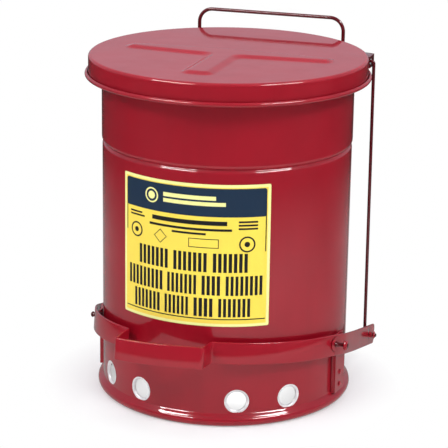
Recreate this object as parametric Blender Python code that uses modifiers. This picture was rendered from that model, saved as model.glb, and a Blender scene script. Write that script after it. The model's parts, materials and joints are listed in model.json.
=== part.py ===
"""Oily waste can: round steel can, foot treadle, lift rod and self-closing lid.

Metres, +Z up. The origin is the centre of the base on the floor, the pedal is at -Y, the
hinge at +Y and the lift rod on the +X side.
"""

import math

import bmesh
import bpy
from mathutils import Euler, Vector

MM = 0.001

# Can body
SHEET = 1.0 * MM
ROUND_STEPS = 48
UPPER_RADIUS = 148.7 * MM
LOWER_RADIUS = 148.0 * MM
GROOVE_DEPTH = 1.5 * MM
GROOVE_TOP = 309.8 * MM
GROOVE_FLOOR = 306.0 * MM
GROOVE_FOOT = 302.0 * MM
RIM_HEIGHT = 407.2 * MM
RIM_CURL = 3.2 * MM
FOOT_RADIUS = 153.2 * MM
FOOT_HEIGHT = 15.5 * MM
FOOT_ROLL = 5.6 * MM
FOOT_FLARE = (0.9 * MM, 2.8 * MM)
FOOT_TUCK = ((1.8 * MM, 0.5 * MM), (2.6 * MM, 3.0 * MM))
PAN_HEIGHT = 62.0 * MM
PAN_FLANGE = 12.0 * MM
PAN_CORNER = 2.5 * MM
VENT_RADIUS = 14.0 * MM
VENT_HEIGHT = 30.0 * MM
VENT_ANGLES = (23.5, 48.3, 131.7, 156.5)

# Lid
LID_TOP = 408.8 * MM
LID_RADIUS = 164.5 * MM
LID_CORNER = 3.5 * MM
LIP_RADIUS = 168.6 * MM
LIP_HEIGHT = 385.6 * MM
EMBOSS_HEIGHT = 3.2 * MM
EMBOSS_SLOPE = 7.0 * MM
ARM_REACH = 128.5 * MM
ARM_HALF_ROOT = 25.0 * MM
ARM_HALF_TIP = 14.0 * MM
STEM_HALF = 21.0 * MM
STEM_REACH = 126.0 * MM
STEM_CORNER = 6.0 * MM
EMBOSS_FILLET = 14.0 * MM
EMBOSS_BACK_BEND = 40.0 * MM

# The can's axis stands this far behind the origin, which is mid-footprint
CAN_AXIS_Y = 6.45 * MM

# Joint axes, all along X, as (y, z) from the can's axis and the floor
LID_AXIS = (168.0 * MM, 378.0 * MM)
TREADLE_AXIS = (-48.0 * MM, 82.0 * MM)
ROD_FOOT = (102.0 * MM, 43.0 * MM)
ROD_HOOK = (97.0 * MM, 392.0 * MM)

# Treadle
STRAP_HEIGHT = 24.8 * MM
STRAP_SHEET = 2.6 * MM
STRAP_RADIUS = 158.5 * MM
STRAP_CENTRE_Y = -1.0 * MM
ARM_X = 157.5 * MM
ARM_START_Y = -10.0 * MM
ARM_END_Y = 132.0 * MM
ARM_END_CORNER = 5.0 * MM
ARM_STATIONS = (25.0 * MM, 80.0 * MM)
LEFT_END_Y = -5.0 * MM
PEDAL_LEFT = (-73.0 * MM, -189.0 * MM)
PEDAL_MID = (-27.0 * MM, -192.6 * MM)
PEDAL_RIGHT = (33.0 * MM, -184.8 * MM)
PEDAL_CORNER = 5.0 * MM
LEFT_LEG_X = -74.0 * MM
RIGHT_LEG_X = 34.0 * MM
STRAP_SIDE_VIEW = (
    (-193.0 * MM, 97.4 * MM),
    (-155.0 * MM, 93.8 * MM),
    (-120.0 * MM, 90.0 * MM),
    (-80.0 * MM, 85.0 * MM),
    (-45.0 * MM, 79.8 * MM),
    (-20.0 * MM, 73.3 * MM),
    (25.0 * MM, 61.0 * MM),
    (80.0 * MM, 47.2 * MM),
    (133.0 * MM, 34.0 * MM),
)

# Treadle brackets and pivots
BRACKET_SHEET = 2.0 * MM
BRACKET_RADIUS = 153.2 * MM
BRACKET_ANGLE = 82.3
BRACKET_HALF_WIDTH = 13.5 * MM
BRACKET_FOOT = 14.0 * MM
BRACKET_TOP = 70.0 * MM
EAR_FACE_X = 145.8 * MM
EAR_RADIUS = 6.5 * MM
EAR_NECK = 7.5 * MM
EAR_OVERLAP = (-6.0 * MM, 12.0 * MM)
EAR_EXTRA = 0.2 * MM
BRACKET_RIVETS = (22.0 * MM, 37.5 * MM)
PIVOT_RADIUS = 2.6 * MM
NUT_FACE_X = 162.8 * MM
NUT_THICKNESS = 4.4 * MM
NUT_ACROSS_FLATS = 9.6 * MM
BOLT_TAIL = 0.9 * MM
PIVOT_HEAD = (4.4 * MM, 1.2 * MM)
PIN_LEFT_FACE = 153.2 * MM
PIN_LEFT_HEAD = ((3.6 * MM, 0.0), (3.6 * MM, 1.6 * MM), (2.6 * MM, 2.6 * MM), (0.0, 2.8 * MM))
WASHER_RADIUS = 8.4 * MM
WASHER_THICKNESS = 1.5 * MM

# Wires
LOOP_WIRE = 2.25 * MM
ROD_WIRE = 2.0 * MM
WIRE_BEND = 3.0 * MM
ROD_X = 152.2 * MM
ROD_OUTER_END = 167.0 * MM
ROD_INNER_END = 143.6 * MM
ROD_SLACK = 0.8 * MM
LOOP_Y = 173.9 * MM
LOOP_TOP = 426.5 * MM
LOOP_BOTTOM = 350.0 * MM
LOOP_HALF_WIDTH = 94.0 * MM
LOOP_BEND = 17.0 * MM
SPACER_RADIUS = 3.6 * MM
SPACER_LENGTH = 4.8 * MM
LOWER_RETAINER = (4.7 * MM, 1.8 * MM)
UPPER_RETAINER = (3.7 * MM, 1.6 * MM)
LOWER_RETAINER_OUT = 7.2 * MM
UPPER_RETAINER_IN = 1.8 * MM

# Rear hinge
LEAF_SHEET = 1.6 * MM
BODY_LEAF_BOTTOM = 326.0 * MM
BODY_LEAF_TOP = 366.0 * MM
LID_LEAF_BOTTOM = 390.0 * MM
LID_LEAF_TOP = 404.0 * MM
LID_EAR_X = 26.0 * MM
BODY_EAR_X = 29.0 * MM
EAR_SHEET = 2.0 * MM
EAR_ROOT_Y = 145.6 * MM
BODY_EAR_TOP = 4.6 * MM
BODY_EAR_FOOT = 5.8 * MM
LID_EAR_EYE = 5.8 * MM
LID_EAR_ROOT_Y = 163.4 * MM
LID_EAR_LIP_Y = 167.5 * MM
LID_EAR_SHOULDER = (173.2 * MM, 391.0 * MM)
HINGE_PIN_RADIUS = 2.2 * MM
HINGE_PIN_HEAD = 4.2 * MM
HINGE_PIN_TAIL = 4.0 * MM
HINGE_CAP = (4.2 * MM, 1.6 * MM)
BODY_LEAF_ANGLES = (198.0, 162.0)
LID_LEAF_ANGLES = (192.0, 168.0)
BODY_LEAF_RIVETS = ((334.0 * MM, 165.0), (334.0 * MM, 195.0), (358.0 * MM, 165.0), (358.0 * MM, 195.0))
LID_LEAF_RIVETS = (174.5, 185.5)
LID_LEAF_MIDDLE = (LID_LEAF_BOTTOM + LID_LEAF_TOP) / 2

# Lift lug on the lid
LUG_ANGLES = (117.6, 138.0)
LUG_RIVETS = (126.5, 133.5)
LUG_RIVET_HEIGHT = 392.8 * MM
LUG_SHEET = 2.0 * MM
LUG_FLANGE_BOTTOM = 389.2 * MM
LUG_TAB_CORNER = 2.0 * MM
LUG_WEB_ANGLES = (136.0, 132.0, 128.0, 124.0, 120.0)
LUG_WEB_BACK = (118.5 * MM, 120.5 * MM)
LUG_TAB_X = 147.0 * MM
LUG_TAB_Y = (88.2 * MM, 111.0 * MM)
LUG_TAB_Z = (384.5 * MM, 398.8 * MM)
LUG_SLOT_LENGTH = 15.6 * MM
LUG_SLOT_HEIGHT = 6.4 * MM
LUG_SLOT_SHIFT = 0.8 * MM

# Label
LABEL_ANGLES = (-34.0, 37.3)
LABEL_HEIGHTS = (122.0 * MM, 290.0 * MM)
LABEL_SHEET = 0.3 * MM

# Rivets and clearances
GAP = 0.3 * MM
RIVET_SHANK = 2.0 * MM
RIVET_HEAD = 3.4 * MM
RIVET_DOME = 1.5 * MM
RIVET_TAIL = 1.0 * MM
RIVET_CUTTER = 16.0 * MM
SHORT_CUTTER = 20.0 * MM
LONG_CUTTER = 400.0 * MM
HOLE_CLEARANCE = 0.35 * MM
LEAF_GRIP = LEAF_SHEET + SHEET + 4 * GAP

COLOURS = {
    "red_paint": ((0.332, 0.013, 0.023), 0.28, 0.0),
    "dark_red_paint": ((0.12, 0.004, 0.008), 0.32, 0.0),
    "zinc": ((0.55, 0.54, 0.52), 0.38, 0.9),
    "dark_steel": ((0.10, 0.09, 0.09), 0.45, 0.8),
    "label_sheet": ((0.85, 0.66, 0.13), 0.45, 0.0),
}

parts = None
helpers = None
materials = {}


def start_scene():
    """Empty the scene and make the collections and materials."""
    global parts, helpers
    for old in list(bpy.data.objects):
        bpy.data.objects.remove(old, do_unlink=True)
    parts = bpy.data.collections.new("oily_waste_can")
    helpers = bpy.data.collections.new("cutters")
    for made in (parts, helpers):
        bpy.context.scene.collection.children.link(made)
    for name, (rgb, roughness, metallic) in COLOURS.items():
        material = bpy.data.materials.new(name)
        material.use_nodes = True
        shader = material.node_tree.nodes["Principled BSDF"]
        shader.inputs["Base Color"].default_value = (*rgb, 1.0)
        shader.inputs["Roughness"].default_value = roughness
        shader.inputs["Metallic"].default_value = metallic
        material.diffuse_color = (*rgb, 1.0)
        materials[name] = material


# ---------------------------------------------------------------- shared tools


def add_object(name, data, material=None):
    """A part when it has a material, otherwise a helper that only cuts or joins."""
    made = bpy.data.objects.new(name, data)
    if material:
        data.materials.append(materials[material])
        parts.objects.link(made)
    else:
        helpers.objects.link(made)
        made.hide_render = True
        made.display_type = "WIRE"
    return made


def mesh_from(name, bm):
    """A smooth-shaded mesh with sharp edges kept sharp."""
    mesh = bpy.data.meshes.new(name)
    bm.to_mesh(mesh)
    bm.free()
    mesh.shade_smooth()
    mesh.set_sharp_from_angle(angle=math.radians(35))
    return mesh


def axis_empty(name, y, z):
    """An empty on a joint axis; the moving pieces hang from it."""
    empty = bpy.data.objects.new(name, None)
    empty.location = (0.0, y, z)
    parts.objects.link(empty)
    return empty


def hang(piece, axis):
    """Parents a piece to its joint's empty without moving it."""
    piece.parent = axis
    piece.location = Vector(piece.location) - Vector(axis.location)


def polar(radius, degrees_from_front):
    """The (x, y) of a point at this angle from the front, positive towards +X."""
    turn = math.radians(degrees_from_front)
    return radius * math.sin(turn), -radius * math.cos(turn)


def arc_points(centre, radius, start, end, count):
    """count + 1 points along an arc, angles in degrees anticlockwise from the first axis."""
    points = []
    for i in range(count + 1):
        turn = math.radians(start + (end - start) * i / count)
        points.append((centre[0] + radius * math.cos(turn), centre[1] + radius * math.sin(turn)))
    return points


def rounded(corners, steps):
    """A closed outline from (x, y, radius) corners, each rounded by an arc of `steps` pieces."""
    outline = []
    for i, (x, y, radius) in enumerate(corners):
        here = Vector((x, y))
        before = Vector(corners[i - 1][:2]) - here
        after = Vector(corners[(i + 1) % len(corners)][:2]) - here
        if radius == 0:
            outline.append(here)
            continue
        half = before.angle(after) / 2
        reach = radius / math.tan(half)
        start = here + before.normalized() * reach
        end = here + after.normalized() * reach
        middle = (before.normalized() + after.normalized()).normalized()
        centre = here + middle * radius / math.sin(half)
        first = start - centre
        sweep = first.angle_signed(end - centre)
        for k in range(steps + 1):
            turn = -sweep * k / steps
            outline.append(centre + Vector((
                first.x * math.cos(turn) - first.y * math.sin(turn),
                first.x * math.sin(turn) + first.y * math.cos(turn),
            )))
    return outline


def solidify(piece, thickness, offset):
    modifier = piece.modifiers.new("sheet", "SOLIDIFY")
    modifier.thickness = thickness
    modifier.offset = offset
    modifier.use_even_offset = True


def turned(name, profile, material=None, steps=ROUND_STEPS, closed=False):
    """Turns (radius, z) points about Z. The profile runs down its outer side."""
    bm = bmesh.new()
    verts = [bm.verts.new((r, 0.0, z)) for r, z in profile]
    pairs = list(zip(verts, verts[1:]))
    if closed:
        pairs.append((verts[-1], verts[0]))
    for a, b in pairs:
        bm.edges.new((a, b))
    piece = add_object(name, mesh_from(name, bm), material)
    screw = piece.modifiers.new("turn", "SCREW")
    screw.steps = steps
    screw.render_steps = steps
    screw.use_merge_vertices = True
    screw.merge_threshold = 0.00002
    screw.use_smooth_shade = True
    return piece


def ribbon(name, path, thickness, offset, material=None):
    """A bent strip from (x, y, z_low, z_high) columns, thickened to one side."""
    bm = bmesh.new()
    columns = [(bm.verts.new((x, y, low)), bm.verts.new((x, y, high))) for x, y, low, high in path]
    for (low_a, high_a), (low_b, high_b) in zip(columns, columns[1:]):
        bm.faces.new((low_a, low_b, high_b, high_a))
    piece = add_object(name, mesh_from(name, bm), material)
    solidify(piece, thickness, offset)
    return piece


def plate(name, outline, thickness, across, start):
    """A flat plate: a closed outline swept along X or Z from `start` for `thickness`."""
    bm = bmesh.new()
    if across == "X":
        verts = [bm.verts.new((start, u, v)) for u, v in outline]
    else:
        verts = [bm.verts.new((u, v, start)) for u, v in outline]
    face = bm.faces.new(verts)
    face.normal_update()
    grow = Vector((thickness, 0.0, 0.0)) if across == "X" else Vector((0.0, 0.0, thickness))
    made = bmesh.ops.extrude_face_region(bm, geom=[face])
    moved = [v for v in made["geom"] if isinstance(v, bmesh.types.BMVert)]
    bmesh.ops.translate(bm, verts=moved, vec=grow)
    bmesh.ops.recalc_face_normals(bm, faces=bm.faces)
    return add_object(name, mesh_from(name, bm))


def rod_cutter(name, radius, length, location, rotation, sides=12):
    """A straight round cutter centred on its location, along its own Z."""
    bm = bmesh.new()
    bmesh.ops.create_cone(
        bm, cap_ends=True, segments=sides, radius1=radius, radius2=radius, depth=length
    )
    cutter = add_object(name, mesh_from(name, bm))
    cutter.location = location
    cutter.rotation_euler = rotation
    return cutter


def radial(degrees_from_front):
    """The rotation that points local Z away from the can's axis at this angle."""
    return Euler((0.0, math.pi / 2, math.radians(degrees_from_front - 90.0)))


ALONG_X = Euler((0.0, math.pi / 2, 0.0))


def combine(host, others, operation):
    """Joins helpers to a part or cuts them from it in one Boolean."""
    group = bpy.data.collections.new(host.name + "_" + operation.lower())
    helpers.children.link(group)
    for other in others:
        helpers.objects.unlink(other)
        group.objects.link(other)
    modifier = host.modifiers.new(operation.lower(), "BOOLEAN")
    modifier.operation = operation
    modifier.operand_type = "COLLECTION"
    modifier.collection = group
    modifier.solver = "EXACT"


def wire(name, points, radius, cyclic=False):
    """Round wire along a polyline."""
    curve = bpy.data.curves.new(name, "CURVE")
    curve.dimensions = "3D"
    curve.bevel_depth = radius
    curve.bevel_resolution = 2
    curve.use_fill_caps = True
    spline = curve.splines.new("POLY")
    spline.points.add(len(points) - 1)
    for point, position in zip(spline.points, points):
        point.co = (*position, 1.0)
    spline.use_cyclic_u = cyclic
    spline.use_smooth = True
    return add_object(name, curve, "dark_red_paint")


def rivet(name, radius, height, angle, grip):
    """A rivet whose head sits at `radius` on the line at `angle`, with its tail `grip` inside."""
    profile = [
        (0.0, RIVET_DOME),
        (0.55 * RIVET_HEAD, 0.87 * RIVET_DOME),
        (0.9 * RIVET_HEAD, 0.5 * RIVET_DOME),
        (RIVET_HEAD, 0.0),
        (RIVET_SHANK, 0.0),
        (RIVET_SHANK, -grip),
        (0.85 * RIVET_HEAD, -grip),
        (0.75 * RIVET_HEAD, -grip - RIVET_TAIL),
        (0.0, -grip - RIVET_TAIL),
    ]
    made = turned(name, profile, "red_paint", steps=12)
    made.location = (*polar(radius, angle), height)
    made.rotation_euler = radial(angle)
    return made


def rivet_hole(name, radius, height, angle):
    """A cutter for a rivet's shank through thin sheet near `radius`."""
    spot = (*polar(radius, angle), height)
    return rod_cutter(name, RIVET_SHANK + HOLE_CLEARANCE, RIVET_CUTTER, spot, radial(angle), 10)


def ring(name, inner, outer, thickness, location, rotation, steps=16):
    """A flat ring or sleeve, centred on its location, along its own Z."""
    half = thickness / 2
    profile = [(inner, half), (outer, half), (outer, -half), (inner, -half)]
    made = turned(name, profile, "zinc", steps=steps, closed=True)
    made.location = location
    made.rotation_euler = rotation
    return made


# ---------------------------------------------------------------- can body


def body_profile():
    """Middle of the wall's sheet from the rim's curled edge down to the rolled foot."""
    half = SHEET / 2
    upper = UPPER_RADIUS - half
    lower = LOWER_RADIUS - half
    curl = RIM_CURL - half
    curl_centre = (upper + curl, RIM_HEIGHT - RIM_CURL)
    foot = FOOT_RADIUS - half
    roll_centre = (foot - FOOT_ROLL, FOOT_ROLL + half)
    points = arc_points(curl_centre, curl, -90.0, 180.0, 6)
    points += [
        (upper, GROOVE_TOP),
        (upper - 0.4 * GROOVE_DEPTH, GROOVE_TOP - 1.6 * MM),
        (upper - GROOVE_DEPTH, GROOVE_FLOOR),
        (lower, GROOVE_FOOT),
        (lower, VENT_HEIGHT + 20.0 * MM),
        (lower, FOOT_HEIGHT),
        (lower + FOOT_FLARE[0], FOOT_HEIGHT - FOOT_FLARE[1]),
    ]
    points += arc_points(roll_centre, FOOT_ROLL, 55.0, -90.0, 6)
    points += [(roll_centre[0] - inward, height) for inward, height in FOOT_TUCK]
    return points


def make_body_shell():
    shell = turned("body_shell", body_profile(), "red_paint")
    solidify(shell, SHEET, 0.0)
    cutters = []
    for angle in VENT_ANGLES:
        for side in (-1, 1):
            spot = (*polar(LOWER_RADIUS, side * angle), VENT_HEIGHT)
            cutters.append(rod_cutter(
                f"vent_{side * angle}", VENT_RADIUS, SHORT_CUTTER, spot, radial(side * angle), 24
            ))
    for side in (-1, 1):
        for height in BRACKET_RIVETS:
            cutters.append(rivet_hole("bracket_hole", LOWER_RADIUS, height, side * BRACKET_ANGLE))
    for height, angle in BODY_LEAF_RIVETS:
        cutters.append(rivet_hole("leaf_hole", UPPER_RADIUS, height, angle))
    combine(shell, cutters, "DIFFERENCE")


def make_bottom_pan():
    """The raised floor, a shallow tray whose flange stands against the wall."""
    half = SHEET / 2
    outer = LOWER_RADIUS - SHEET - GAP - half
    bend = (outer - PAN_CORNER, PAN_HEIGHT + PAN_CORNER)
    profile = [(outer, PAN_HEIGHT + PAN_FLANGE), (outer, PAN_HEIGHT + PAN_CORNER)]
    profile += arc_points(bend, PAN_CORNER, -30.0, -90.0, 2)
    profile.append((0.0, PAN_HEIGHT))
    pan = turned("bottom_pan", profile, "dark_red_paint")
    solidify(pan, SHEET, 0.0)


def make_label():
    """A thin printed sheet wrapped round the front of the lower wall."""
    count = 12
    path = []
    for i in range(count + 1):
        angle = LABEL_ANGLES[0] + (LABEL_ANGLES[1] - LABEL_ANGLES[0]) * i / count
        path.append((*polar(LOWER_RADIUS + 1.5 * GAP, angle), *LABEL_HEIGHTS))
    ribbon("label", path, LABEL_SHEET, 1.0, "label_sheet")


# ---------------------------------------------------------------- lid


def lid_profile():
    """Middle of the lid's sheet from the centre out, down the skirt and round the rolled lip."""
    half = SHEET / 2
    skirt = LID_RADIUS - half
    corner = LID_CORNER - half
    roll = (LIP_RADIUS - half - skirt) / 2
    points = [(0.0, LID_TOP - half)]
    points += arc_points((skirt - corner, LID_TOP - LID_CORNER), corner, 90.0, 0.0, 3)
    points += arc_points((skirt + roll, LIP_HEIGHT), roll, 180.0, 450.0, 6)
    return points


def emboss_corners(inset):
    """The T seen from above, its edge moved in by `inset`."""
    root = ARM_HALF_ROOT - inset
    tip = max(ARM_HALF_TIP - 0.6 * inset, 2.0 * MM)
    reach = ARM_REACH - 0.9 * inset
    stem = STEM_HALF - inset
    front = -STEM_REACH + inset
    join = root - (root - tip) * stem / reach
    return [
        (-reach, -tip, tip * 0.9),
        (-stem, -join, EMBOSS_FILLET),
        (-stem, front, STEM_CORNER),
        (stem, front, STEM_CORNER),
        (stem, -join, EMBOSS_FILLET),
        (reach, -tip, tip * 0.9),
        (reach, tip, tip * 0.9),
        (0.0, root, EMBOSS_BACK_BEND),
        (-reach, tip, tip * 0.9),
    ]


def emboss_block(name, inset, low, high):
    """A T-shaped block with sloping sides, lofted between its base and its flat top."""
    base = rounded(emboss_corners(inset), 4)
    top = rounded(emboss_corners(inset + EMBOSS_SLOPE), 4)
    bm = bmesh.new()
    lower = [bm.verts.new((x, y, low)) for x, y in base]
    upper = [bm.verts.new((x, y, high)) for x, y in top]
    bm.faces.new(lower)
    bm.faces.new(upper)
    for i in range(len(lower)):
        j = (i + 1) % len(lower)
        bm.faces.new((lower[i], lower[j], upper[j], upper[i]))
    bmesh.ops.triangulate(bm, faces=bm.faces)
    bmesh.ops.recalc_face_normals(bm, faces=bm.faces)
    return add_object(name, mesh_from(name, bm))


def make_lid(axis):
    lid = turned("lid_pan", lid_profile(), "red_paint")
    solidify(lid, SHEET, 0.0)
    raised = emboss_block("emboss", 0.0, LID_TOP - 0.7 * SHEET, LID_TOP + EMBOSS_HEIGHT)
    combine(lid, [raised], "UNION")
    hollow_top = LID_TOP + EMBOSS_HEIGHT - SHEET
    cutters = [emboss_block("emboss_hollow", 1.6 * SHEET, LID_TOP - 1.5 * SHEET, hollow_top)]
    for angle in LID_LEAF_RIVETS:
        cutters.append(rivet_hole("skirt_hole", LID_RADIUS, LID_LEAF_MIDDLE, angle))
    for angle in LUG_RIVETS:
        cutters.append(rivet_hole("lug_hole", LID_RADIUS, LUG_RIVET_HEIGHT, angle))
    combine(lid, cutters, "DIFFERENCE")
    hang(lid, axis)


# ---------------------------------------------------------------- rear hinge


def curved_leaf(name, radius, angles, low, high, count):
    """A plate bent to lie on the can or on the lid's skirt."""
    start, end = angles
    path = []
    for i in range(count + 1):
        path.append((*polar(radius, start + (end - start) * i / count), low, high))
    return ribbon(name, path, LEAF_SHEET, 1.0, "red_paint")


def body_ear_outline():
    """Side view of a fixed ear: it carries the hinge pin above and the wire loop below."""
    top = arc_points(LID_AXIS, BODY_EAR_TOP, 130.0, -20.0, 6)
    foot = arc_points((LOOP_Y, LOOP_BOTTOM), BODY_EAR_FOOT, 20.0, -110.0, 6)
    above = (EAR_ROOT_Y, BODY_LEAF_TOP - 3.0 * MM)
    below = (EAR_ROOT_Y, BODY_LEAF_BOTTOM + 4.0 * MM)
    return [above] + top + foot + [below]


def lid_ear_outline():
    """Side view of a lid ear: from the skirt it steps out round the lip and down to the pin."""
    below_lip = LIP_HEIGHT - 3.2 * MM
    above_lip = LIP_HEIGHT + 3.6 * MM
    top = LID_LEAF_TOP - 1.0 * MM
    eye = arc_points(LID_AXIS, LID_EAR_EYE, 20.0, -220.0, 10)
    outline = [(LID_EAR_ROOT_Y, above_lip), (LID_EAR_ROOT_Y, top), (LID_EAR_LIP_Y, top), LID_EAR_SHOULDER]
    return outline + eye + [(LID_EAR_LIP_Y, below_lip), (LID_EAR_LIP_Y, above_lip)]


def pair_of_ears(outline, x):
    """The two ears of a leaf, their inner faces at `x` and minus `x`."""
    return [plate("ear", outline, EAR_SHEET, "X", start) for start in (x, -x - EAR_SHEET)]


def make_body_leaf():
    """The fixed leaf on the wall: its ears carry the hinge pin and the wire loop."""
    leaf = curved_leaf(
        "body_hinge_leaf", UPPER_RADIUS + GAP, BODY_LEAF_ANGLES, BODY_LEAF_BOTTOM, BODY_LEAF_TOP, 6
    )
    flip_sheet(leaf)
    combine(leaf, pair_of_ears(body_ear_outline(), BODY_EAR_X), "UNION")
    loop_spot = (0.0, LOOP_Y, LOOP_BOTTOM)
    holes = [
        rod_cutter("pin_hole", HINGE_PIN_RADIUS + HOLE_CLEARANCE, LONG_CUTTER, (0.0, *LID_AXIS), ALONG_X),
        rod_cutter("loop_hole", LOOP_WIRE + HOLE_CLEARANCE, LONG_CUTTER, loop_spot, ALONG_X, 16),
        inner_trim(UPPER_RADIUS + GAP, BODY_LEAF_BOTTOM - 10 * MM, BODY_LEAF_TOP + 3 * MM),
    ]
    for height, angle in BODY_LEAF_RIVETS:
        holes.append(rivet_hole("leaf_hole", UPPER_RADIUS, height, angle))
    combine(leaf, holes, "DIFFERENCE")
    for i, (height, angle) in enumerate(BODY_LEAF_RIVETS):
        rivet(f"body_hinge_rivet_{i + 1}", UPPER_RADIUS + 2 * GAP + LEAF_SHEET, height, angle, LEAF_GRIP)


def make_lid_leaf(axis):
    """The leaf on the lid's skirt, whose ears reach round the lip to the pin."""
    leaf = curved_leaf(
        "lid_hinge_leaf", LID_RADIUS + GAP, LID_LEAF_ANGLES, LID_LEAF_BOTTOM, LID_LEAF_TOP, 4
    )
    flip_sheet(leaf)
    combine(leaf, pair_of_ears(lid_ear_outline(), LID_EAR_X), "UNION")
    holes = [
        rod_cutter("pin_hole", HINGE_PIN_RADIUS + HOLE_CLEARANCE, LONG_CUTTER, (0.0, *LID_AXIS), ALONG_X),
        inner_trim(LID_RADIUS + GAP, LIP_HEIGHT + 3.0 * MM, LID_TOP),
    ]
    for angle in LID_LEAF_RIVETS:
        holes.append(rivet_hole("leaf_hole", LID_RADIUS, LID_LEAF_MIDDLE, angle))
    combine(leaf, holes, "DIFFERENCE")
    hang(leaf, axis)
    rivet_row("lid_hinge_rivet", LID_LEAF_MIDDLE, LID_LEAF_RIVETS, axis)


def rivet_row(name, height, angles, axis):
    """The rivets that hold a plate to the lid's skirt."""
    for i, angle in enumerate(angles):
        made = rivet(f"{name}_{i + 1}", LID_RADIUS + 2 * GAP + LEAF_SHEET, height, angle, LEAF_GRIP)
        hang(made, axis)


def inner_trim(radius, low, high):
    """A round cutter that clears everything inside `radius` from an ear's root."""
    height = high - low
    return rod_cutter("trim", radius, height, (0, 0, (low + high) / 2), Euler((0, 0, 0)), ROUND_STEPS)


def flip_sheet(piece):
    """Turns an open sheet's faces so that it thickens away from the can."""
    bm = bmesh.new()
    bm.from_mesh(piece.data)
    outward = sum(face.normal.dot(face.calc_center_median()) for face in bm.faces)
    if outward < 0:
        bmesh.ops.reverse_faces(bm, faces=bm.faces)
    bm.to_mesh(piece.data)
    bm.free()


def make_hinge_pin():
    """A headed pin through both pairs of ears, held by a push-on cap."""
    y, z = LID_AXIS
    reach = BODY_EAR_X + EAR_SHEET + GAP
    profile = [
        (0.0, reach + 2.0 * MM),
        (0.8 * HINGE_PIN_HEAD, reach + 2.0 * MM),
        (HINGE_PIN_HEAD, reach + 1.2 * MM),
        (HINGE_PIN_HEAD, reach),
        (HINGE_PIN_RADIUS, reach),
        (HINGE_PIN_RADIUS, -reach - HINGE_PIN_TAIL),
        (0.0, -reach - HINGE_PIN_TAIL),
    ]
    pin = turned("hinge_pin", profile, "zinc", steps=16)
    pin.location = (0, y, z)
    pin.rotation_euler = ALONG_X
    cap_spot = (-reach - GAP - HINGE_CAP[1] / 2, y, z)
    ring("hinge_pin_cap", HINGE_PIN_RADIUS + HOLE_CLEARANCE, *HINGE_CAP, cap_spot, ALONG_X)


def make_backstop_loop():
    """The wire loop that stands behind the lid and stops it short of upright."""
    across = LOOP_HALF_WIDTH
    corners = [
        (across, LOOP_BOTTOM, LOOP_BEND),
        (across, LOOP_TOP, LOOP_BEND),
        (-across, LOOP_TOP, LOOP_BEND),
        (-across, LOOP_BOTTOM, LOOP_BEND),
    ]
    path = [(x, LOOP_Y, z) for x, z in rounded(corners, 5)]
    wire("backstop_loop", path, LOOP_WIRE, cyclic=True)


# ---------------------------------------------------------------- treadle


def strap_middle(y):
    """Height of the strap's centre line in side view."""
    for (y0, z0), (y1, z1) in zip(STRAP_SIDE_VIEW, STRAP_SIDE_VIEW[1:]):
        if y <= y1:
            return z0 + (z1 - z0) * (y - y0) / (y1 - y0)
    return STRAP_SIDE_VIEW[-1][1]


def strap_plan():
    """Outer face of the strap from above, from the left pivot round the pedal to the lift arm."""
    left_start = math.degrees(math.asin((LEFT_END_Y - STRAP_CENTRE_Y) / STRAP_RADIUS))
    left_stop = math.degrees(math.asin(-LEFT_LEG_X / STRAP_RADIUS))
    right_start = math.degrees(math.asin(RIGHT_LEG_X / STRAP_RADIUS))
    right_stop = math.degrees(math.acos(-(ARM_START_Y - STRAP_CENTRE_Y) / STRAP_RADIUS))
    plan = []
    count = 14
    for i in range(count + 1):
        angle = -(90.0 + left_start) + (90.0 + left_start - left_stop) * i / count
        x, y = polar(STRAP_RADIUS, angle)
        plan.append((x, y + STRAP_CENTRE_Y))
    plan += bowed_pedal()
    for i in range(count + 1):
        angle = right_start + (right_stop - right_start) * i / count
        x, y = polar(STRAP_RADIUS, angle)
        plan.append((min(x, ARM_X), y + STRAP_CENTRE_Y))
    return plan + [(ARM_X, y) for y in ARM_STATIONS]


def bowed_pedal():
    """The pedal's plan: two corners joined by a face that bows forward."""
    corner = PEDAL_CORNER
    left = arc_points((PEDAL_LEFT[0] + corner, PEDAL_LEFT[1] + corner), corner, 180.0, 265.0, 4)
    right = arc_points((PEDAL_RIGHT[0] - corner, PEDAL_RIGHT[1] + corner), corner, 277.0, 360.0, 4)
    face = []
    for i in range(1, 8):
        along = i / 8
        x = left[-1][0] + (right[0][0] - left[-1][0]) * along
        straight = left[-1][1] + (right[0][1] - left[-1][1]) * along
        mid_along = (PEDAL_MID[0] - left[-1][0]) / (right[0][0] - left[-1][0])
        mid_line = left[-1][1] + (right[0][1] - left[-1][1]) * mid_along
        bow = (PEDAL_MID[1] - mid_line) / (4 * mid_along * (1 - mid_along))
        face.append((x, straight + bow * 4 * along * (1 - along)))
    return left + face + right


def strap_path():
    """Adds the strap's height to its plan and rounds the corners of the lift arm's end."""
    path = []
    for x, y in strap_plan():
        middle = strap_middle(y)
        path.append((x, y, middle - STRAP_HEIGHT / 2, middle + STRAP_HEIGHT / 2))
    for i in range(5):
        turn = math.radians(90.0 * i / 4)
        y = ARM_END_Y - ARM_END_CORNER + ARM_END_CORNER * math.sin(turn)
        half = STRAP_HEIGHT / 2 - ARM_END_CORNER + ARM_END_CORNER * math.cos(turn)
        path.append((ARM_X, y, strap_middle(y) - half, strap_middle(y) + half))
    return path


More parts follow.
